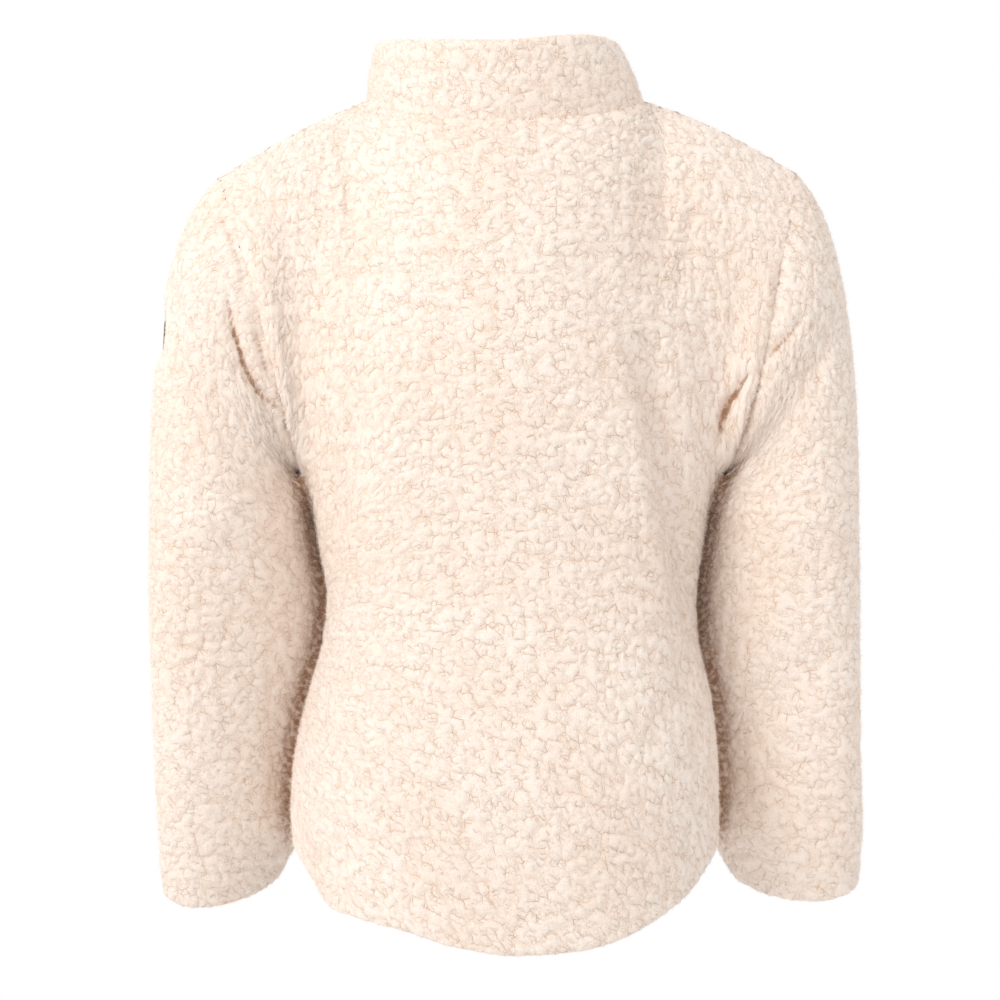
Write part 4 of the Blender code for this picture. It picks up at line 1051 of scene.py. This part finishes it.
# ------------------------------ node trees
class Graph:
    """Adds nodes to a node tree and joins them up."""

    def __init__(self, tree):
        self.tree = tree

    def node(self, kind, inputs=None, **settings):
        """A node with these settings, and with these values or sockets for its inputs."""
        made = self.tree.nodes.new(kind)
        for label, value in settings.items():
            setattr(made, label, value)
        for label, value in (inputs or {}).items():
            self.feed(made.inputs[label], value)
        return made

    def feed(self, socket, value):
        if isinstance(value, bpy.types.NodeSocket):
            self.tree.links.new(value, socket)
        else:
            socket.default_value = value

    def math(self, operation, *values):
        return self.node("ShaderNodeMath", dict(enumerate(values)), operation=operation).outputs[0]

    def vector(self, operation, one, two):
        inputs = {0: one, "Scale" if operation == "SCALE" else 1: two}
        return self.node("ShaderNodeVectorMath", inputs, operation=operation).outputs[0]

    def noise(self, at, scale, detail=1.0, output="Fac"):
        inputs = {"Vector": at, "Scale": scale, "Detail": detail}
        return self.node("ShaderNodeTexNoise", inputs, noise_dimensions="2D").outputs[output]

    def wander(self, at, scale, reach):
        """A vector that varies from place to place, by about half this reach to each side."""
        centred = self.vector("SUBTRACT", self.noise(at, scale, 1.5, "Color"), (0.5, 0.5, 0.5))
        return self.vector("SCALE", centred, reach)

    def cells(self, at, scale):
        """How far each place lies from the edge of its cell."""
        inputs = {"Vector": at, "Scale": scale, "Randomness": CELL_RANDOMNESS}
        settings = {"feature": "DISTANCE_TO_EDGE", "voronoi_dimensions": "2D"}
        return self.node("ShaderNodeTexVoronoi", inputs, **settings).outputs["Distance"]

    def ramp(self, value, low, high, to_low=0.0, to_high=1.0):
        inputs = dict(enumerate((value, low, high, to_low, to_high)))
        return self.node("ShaderNodeMapRange", inputs, interpolation_type="SMOOTHSTEP").outputs[0]

    def blend(self, share, one, two):
        """A colour between two."""
        inputs = {"Factor": share, 6: one, 7: two}
        return self.node("ShaderNodeMix", inputs, data_type="RGBA").outputs[2]

    def bump(self, height, distance, strength=1.0):
        inputs = {"Strength": strength, "Distance": distance, "Height": height}
        return self.node("ShaderNodeBump", inputs).outputs[0]

    def weave(self, at, scale, distortion=0.0):
        """Slanting ribs, as of a twill or a tape."""
        inputs = {"Vector": at, "Scale": scale, "Distortion": distortion}
        return self.node("ShaderNodeTexWave", inputs, bands_direction="DIAGONAL").outputs["Fac"]

    def named(self, name, kind):
        """A mesh attribute, in a geometry tree."""
        made = self.node("GeometryNodeInputNamedAttribute", {"Name": name}, data_type=kind)
        return made.outputs["Attribute"]

    def carried(self, name, output):
        """A mesh attribute, in a material."""
        return self.node("ShaderNodeAttribute", attribute_name=name).outputs[output]

    def object_place(self, scale=(1.0, 1.0, 1.0)):
        place = self.node("ShaderNodeTexCoord").outputs["Object"]
        return self.vector("MULTIPLY", place, scale)


def pile_pattern(graph, place):
    """The height of the pile from 0 to 1, and how much of a crease there is."""
    at = graph.vector("SCALE", graph.vector("MULTIPLY", place, LUMP_FLATNESS), 1 / LUMP)
    bent = at
    for wandering in (LUMP_BEND, LUMP_KINK, LUMP_FRAY):
        bent = graph.vector("ADD", bent, graph.wander(at, *wandering))
    low, line = 0.0, 0.0
    for values in LUMP_LAYERS:
        layer = dict(zip(LUMP_LAYER_COLUMNS, values))
        shift, size = layer["shift"], layer["size"]
        edge = graph.cells(graph.vector("ADD", bent, (shift, 0.6 * shift, 0.0)), 1 / size)
        patches = graph.noise(graph.vector("ADD", at, (0.0, shift, 0.0)), layer["fading"], 2.0)
        share = graph.ramp(patches, layer["from"], layer["to"], layer["least"], layer["most"])
        gap = graph.math("SUBTRACT", 1.0, graph.ramp(edge, 0.0, GAP_REACH))
        dark = graph.math("SUBTRACT", 1.0, graph.ramp(edge, 0.0, LINE_REACH / size))
        low = graph.math("MAXIMUM", low, graph.math("MULTIPLY", gap, share))
        line = graph.math("MAXIMUM", line, graph.math("MULTIPLY", dark, share))
    return graph.math("SUBTRACT", 1.0, low), line


def press_pile(pieces):
    """Moves the outer points of each shell by the pile's height."""
    tree = bpy.data.node_groups.new("pile", "GeometryNodeTree")
    tree.interface.new_socket("Geometry", in_out="INPUT", socket_type="NodeSocketGeometry")
    tree.interface.new_socket("Geometry", in_out="OUTPUT", socket_type="NodeSocketGeometry")
    graph = Graph(tree)
    into, out = graph.node("NodeGroupInput"), graph.node("NodeGroupOutput")
    height, _ = pile_pattern(graph, graph.named("place", "FLOAT_VECTOR"))
    lift = graph.math("MULTIPLY_ADD", height, LUMP_HEIGHT, STANDS_PROUD - LUMP_HEIGHT)
    lift = graph.math("MULTIPLY", lift, graph.named("pile", "FLOAT"))
    offset = graph.vector("SCALE", graph.named("stands", "FLOAT_VECTOR"), lift)
    move = graph.node("GeometryNodeSetPosition", {"Geometry": into.outputs[0], "Offset": offset})
    graph.feed(out.inputs[0], move.outputs["Geometry"])
    for piece in pieces:
        piece.modifiers.new("pile", "NODES").node_group = tree
    bpy.context.view_layer.update()
    for piece in pieces:
        evaluated = piece.evaluated_get(bpy.context.evaluated_depsgraph_get())
        pressed = bpy.data.meshes.new_from_object(evaluated)
        piece.modifiers.clear()
        piece.data = pressed
    bpy.data.node_groups.remove(tree)


# ------------------------------ loose fibres
def fibres_on(piece, finish, seed):
    """Loose fibres that stand on a shell's pile, each a thin triangle. They go with the shell."""
    mesh = piece.data
    mesh.calc_loop_triangles()
    count = len(mesh.loop_triangles)
    corners, face = np.empty(3 * count, np.int32), np.empty(count, np.int32)
    mesh.loop_triangles.foreach_get("vertices", corners)
    mesh.loop_triangles.foreach_get("polygon_index", face)
    finish_of = np.empty(len(mesh.polygons), np.int32)
    mesh.polygons.foreach_get("material_index", finish_of)
    places = np.empty(3 * len(mesh.vertices), np.float32)
    mesh.vertices.foreach_get("co", places)
    a, b, c = places.reshape(-1, 3)[corners.reshape(-1, 3)[finish_of[face] == 0]].transpose(1, 0, 2)
    across = np.cross(b - a, c - a)
    area = np.linalg.norm(across, axis=1) / 2
    rng = np.random.default_rng(seed)
    number = int(area.sum() * FIBRES_PER_AREA)
    on = rng.choice(len(area), number, p=area / area.sum())
    one, two = rng.random((2, number, 1))
    one, two = np.where(one + two > 1, 1 - one, one), np.where(one + two > 1, 1 - two, two)
    root = a[on] + (b - a)[on] * one + (c - a)[on] * two
    out = unit(across[on])
    lean = unit(out + FIBRE_LEAN * rng.normal(size=(number, 3)) - (0, 0, FIBRE_DROOP))
    short_by = np.maximum(FIBRE_LEAST_RISE - np.sum(lean * out, axis=1), 0)
    lean = unit(lean + out * short_by[:, None])
    beside = unit(np.cross(lean, rng.normal(size=(number, 3)))) * FIBRE_WIDTH / 2
    tip = root + lean * rng.uniform(*FIBRE_LENGTHS, size=(number, 1))
    clear_of_zip = (np.abs(root[:, 0]) > FIBRES_OFF_ZIP) | (root[:, 1] > 0)
    points = np.stack([root - beside, root + beside, tip], axis=1)[clear_of_zip].reshape(-1, 3)
    number = len(points) // 3
    hairs = bpy.data.meshes.new(f"{piece.name}_fibres")
    hairs.vertices.add(3 * number)
    hairs.vertices.foreach_set("co", points.astype(np.float32).ravel())
    hairs.loops.add(3 * number)
    hairs.loops.foreach_set("vertex_index", np.arange(3 * number, dtype=np.int32))
    hairs.polygons.add(number)
    hairs.polygons.foreach_set("loop_start", np.arange(0, 3 * number, 3, dtype=np.int32))
    hairs.update()
    hairs.materials.append(finish)
    made = add_object(hairs.name, hairs)
    made.parent = piece


# ------------------------------ materials
# Colours, as linear red, green and blue.
CREAM, WARM_CREAM = (0.926, 0.824, 0.744, 1), (0.910, 0.786, 0.692, 1)
# Painted shade: tan where the pile dips and along its crease lines, brown in deep creases and gaps.
CREASE_SHADE_TAN, DEEP_SHADE_BROWN = (0.590, 0.345, 0.190, 1), (0.400, 0.190, 0.085, 1)
KNIT_TONES = (0.62, 0.50, 0.40, 1), (0.86, 0.75, 0.65, 1)
TAPE_TONES = (0.66, 0.56, 0.46, 1), (0.80, 0.71, 0.61, 1)
METAL_TONES = (0.50, 0.49, 0.47, 1), (0.66, 0.65, 0.62, 1)
TEETH_TONES = (0.70, 0.60, 0.50, 1), (0.80, 0.70, 0.60, 1)
TWILL_TONES = (0.78, 0.77, 0.75, 1), (0.88, 0.87, 0.85, 1)
BORDER_TONES = (0.11, 0.10, 0.10, 1), (0.62, 0.62, 0.63, 1)
THREAD_TONES = (0.05, 0.05, 0.06, 1), (0.10, 0.09, 0.10, 1)
FLOOR_TONES = (0.86, 0.86, 0.86, 1), (0.90, 0.90, 0.90, 1)
# How strongly shade is painted onto the fleece: beside its lines, on them, between its finest curls, and in
# its deep creases and gaps.
SHADE, LINE_SHADE, CURL_SHADE, DEEP_SHADE = 0.12, 0.76, 0.16, 0.9
# Sizes of pattern on the fleece, as noise scales: curls, the ragged edges of the painted shade in deep
# creases and gaps, where the painted shade of the lines fades, and where the cream's own tint fades.
CURLS, RAGGED, LINES_FADE, TINT_FADES = 820.0, 190.0, 110.0, 9.0


def new_material(name, roughness, metallic=0.0, sheen=0.0):
    made = bpy.data.materials.new(name)
    made.use_nodes = True
    shader = made.node_tree.nodes["Principled BSDF"]
    values = {
        "Roughness": roughness, "Metallic": metallic, "Sheen Weight": sheen, "Sheen Roughness": 0.5,
    }
    for label, value in values.items():
        shader.inputs[label].default_value = value
    return made, Graph(made.node_tree), shader


def coat(graph, shader, pattern, tones, relief=None):
    """Colours a material between two tones by a pattern, and raises the pattern by this relief, as
    its height and strength."""
    graph.feed(shader.inputs["Base Color"], graph.blend(pattern, *tones))
    if relief:
        graph.feed(shader.inputs["Normal"], graph.bump(pattern, *relief))


def fleece_material():
    made, graph, shader = new_material("fleece_pile", 0.95, sheen=0.25)
    place = graph.carried("place", "Vector")
    height, line = pile_pattern(graph, place)
    # Painted shade along the crease lines, stronger in some places than in others.
    strength = graph.ramp(graph.noise(place, LINES_FADE, 2.0), 0.34, 0.68, 0.25, 1.0)
    line = graph.math("MULTIPLY", line, strength)
    curls = graph.noise(place, CURLS, 2.0)
    tint = graph.ramp(graph.noise(place, TINT_FADES, 2.0), 0.38, 0.66)
    colour = graph.blend(tint, CREAM, WARM_CREAM)
    # Painted shade, in tan: where the pile dips between lumps, in the hollows between its finest curls, and
    # along the crease lines.
    shade = graph.math("MULTIPLY", graph.ramp(height, 0.9, 0.0), SHADE)
    shade_between_curls = graph.ramp(curls, 0.60, 0.32, 0.0, CURL_SHADE)
    for share in (shade, shade_between_curls, graph.math("MULTIPLY", line, LINE_SHADE)):
        colour = graph.blend(share, colour, CREASE_SHADE_TAN)
    # Painted shade, in brown, in deep creases and in the gap between a sleeve and the torso, with ragged
    # edges.
    torn = graph.ramp(graph.noise(place, RAGGED, 2.0), 0.3, 0.65, 0.55, 1.3)
    ragged = graph.math("MULTIPLY", graph.carried("deep", "Fac"), torn)
    colour = graph.blend(graph.ramp(ragged, 0.12, 1.0, 0.0, DEEP_SHADE), colour, DEEP_SHADE_BROWN)
    graph.feed(shader.inputs["Base Color"], colour)
    relief = graph.math("MULTIPLY", curls, CURL_BUMP)
    relief = graph.math("MULTIPLY_ADD", height, CREASE_BUMP, relief)
    relief = graph.math("MULTIPLY_ADD", line, LINE_BUMP, relief)
    graph.feed(shader.inputs["Normal"], graph.bump(relief, 1.0))
    return made


def fibre_material():
    made, graph, shader = new_material("fleece_fibres", 0.9, sheen=0.2)
    tone = graph.ramp(graph.noise(graph.object_place(), 60.0, 1.0), 0.3, 0.7)
    coat(graph, shader, tone, (CREAM, WARM_CREAM))
    return made


def knit_material():
    made, graph, shader = new_material("knitted_back", 0.9, sheen=0.1)
    place = graph.vector("MULTIPLY", graph.carried("place", "Vector"), (1.0, 1.0, 0.6))
    stitches = graph.cells(place, 700.0)
    coat(graph, shader, graph.ramp(stitches, 0.0, 0.3), KNIT_TONES)
    graph.feed(shader.inputs["Normal"], graph.bump(stitches, 0.0006, 0.7))
    return made


def tape_material():
    made, graph, shader = new_material("zip_tape_weave", 0.85)
    ribs = graph.weave(graph.object_place((1.0, 0.4, 1.0)), 420.0, 0.6)
    coat(graph, shader, ribs, TAPE_TONES, (0.0003, 0.6))
    return made


def metal_material():
    """Metal with fine upright scratches, in which it is worn brighter."""
    made, graph, shader = new_material("zip_metal_finish", 0.35, metallic=1.0)
    scratches = graph.noise(graph.object_place((1.0, 1.0, 0.15)), 1800.0, 3.0)
    coat(graph, shader, graph.ramp(scratches, 0.4, 0.7), METAL_TONES)
    graph.feed(shader.inputs["Roughness"], graph.ramp(scratches, 0.3, 0.7, 0.24, 0.46))
    graph.feed(shader.inputs["Normal"], graph.bump(scratches, 0.0001, 0.3))
    return made


def twill_material():
    made, graph, shader = new_material("patch_twill", 0.8, sheen=0.1)
    ribs = graph.weave(graph.object_place((0.3, 1.0, 1.0)), 520.0)
    coat(graph, shader, ribs, TWILL_TONES, (0.0003, 0.5))
    return made


def border_material():
    """Thread of two colours, sewn over the patch's edge."""
    made, graph, shader = new_material("patch_border", 0.8)
    tone = graph.ramp(graph.noise(graph.object_place(), 240.0, 2.0), 0.44, 0.54)
    coat(graph, shader, tone, BORDER_TONES, (0.0002, 0.5))
    return made


def mottled_material(name, roughness, scale, tones, relief=None):
    """A plain material that varies a little from spot to spot."""
    made, graph, shader = new_material(name, roughness)
    coat(graph, shader, graph.noise(graph.object_place(), scale, 2.0), tones, relief)
    return made


# ------------------------------ studio
CAMERA_PLACE = (0.0044, 2.6, -0.349)
CAMERA_LENS, CAMERA_SENSOR = 106.3, 36.0  # in millimetres
FLOOR_HEIGHT = -1.4
FLOOR_CORNERS = ((-3.0, -3.2), (3.0, -3.2), (3.0, 4.0), (-3.0, 4.0))
SKY = 0.96  # of the brightness that the background shows, for the light it gives
# One soft lamp, above and to the wearer's left of the camera.
LAMP_PLACE, LAMP_TARGET = (2.2, 2.0, 1.6), (0, 0, -0.3)
LAMP_WIDTH, LAMP_POWER, LAMP_COLOUR = 1.6, 56, (1.0, 0.985, 0.96)


def make_lamp():
    data = bpy.data.lights.new("key", "AREA")
    data.shape = "DISK"
    data.size = LAMP_WIDTH
    data.energy = LAMP_POWER
    data.color = LAMP_COLOUR
    lamp = add_object("key", data)
    lamp.location = LAMP_PLACE
    aim = Vector(LAMP_TARGET) - Vector(LAMP_PLACE)
    lamp.rotation_euler = aim.to_track_quat("-Z", "Y").to_euler()


def make_studio():
    scene = bpy.context.scene
    world = bpy.data.worlds.new("studio")
    scene.world = world
    world.use_nodes = True
    graph = Graph(world.node_tree)
    background = world.node_tree.nodes["Background"]
    background.inputs["Color"].default_value = (1, 1, 1, 1)
    seen = graph.node("ShaderNodeLightPath").outputs["Is Camera Ray"]
    graph.feed(background.inputs["Strength"], graph.math("MULTIPLY_ADD", seen, 1 - SKY, SKY))
    scene.view_settings.view_transform = "Standard"
    make_lamp()

    mesh = bpy.data.meshes.new("floor")
    corners = [(x, y, FLOOR_HEIGHT) for x, y in FLOOR_CORNERS]
    mesh.from_pydata(corners, [], [(0, 1, 2, 3)])
    floor = add_object("floor", mesh)
    mesh.materials.append(mottled_material("studio_floor", 0.8, 40.0, FLOOR_TONES))

    data = bpy.data.cameras.new("camera")
    data.lens = CAMERA_LENS
    data.sensor_width = CAMERA_SENSOR
    camera = add_object("camera", data)
    camera.location = CAMERA_PLACE
    camera.rotation_euler = (math.pi / 2, 0, math.pi)
    scene.camera = camera


def main():
    pieces, zip_line = make_fleece(fleece_material(), knit_material())
    press_pile(pieces.values())
    hair = fibre_material()
    for seed, piece in enumerate(pieces.values()):
        fibres_on(piece, hair, seed)
    tape = tape_material()
    for name in ("zip_tape_left", "zip_tape_right"):
        woven = finished_copy(name, tape)
    make_teeth(zip_line, mottled_material("zip_teeth_plastic", 0.42, 700.0, TEETH_TONES, (0.0001, 0.3)))
    metal = metal_material()
    for name, radius in ZIP_ROUNDING.items():
        finished_copy(name, metal, radius)
    thread = mottled_material("patch_thread", 0.6, 1200.0, THREAD_TONES, (0.0001, 0.5))
    make_patch(twill_material(), border_material(), thread)
    make_studio()


main()
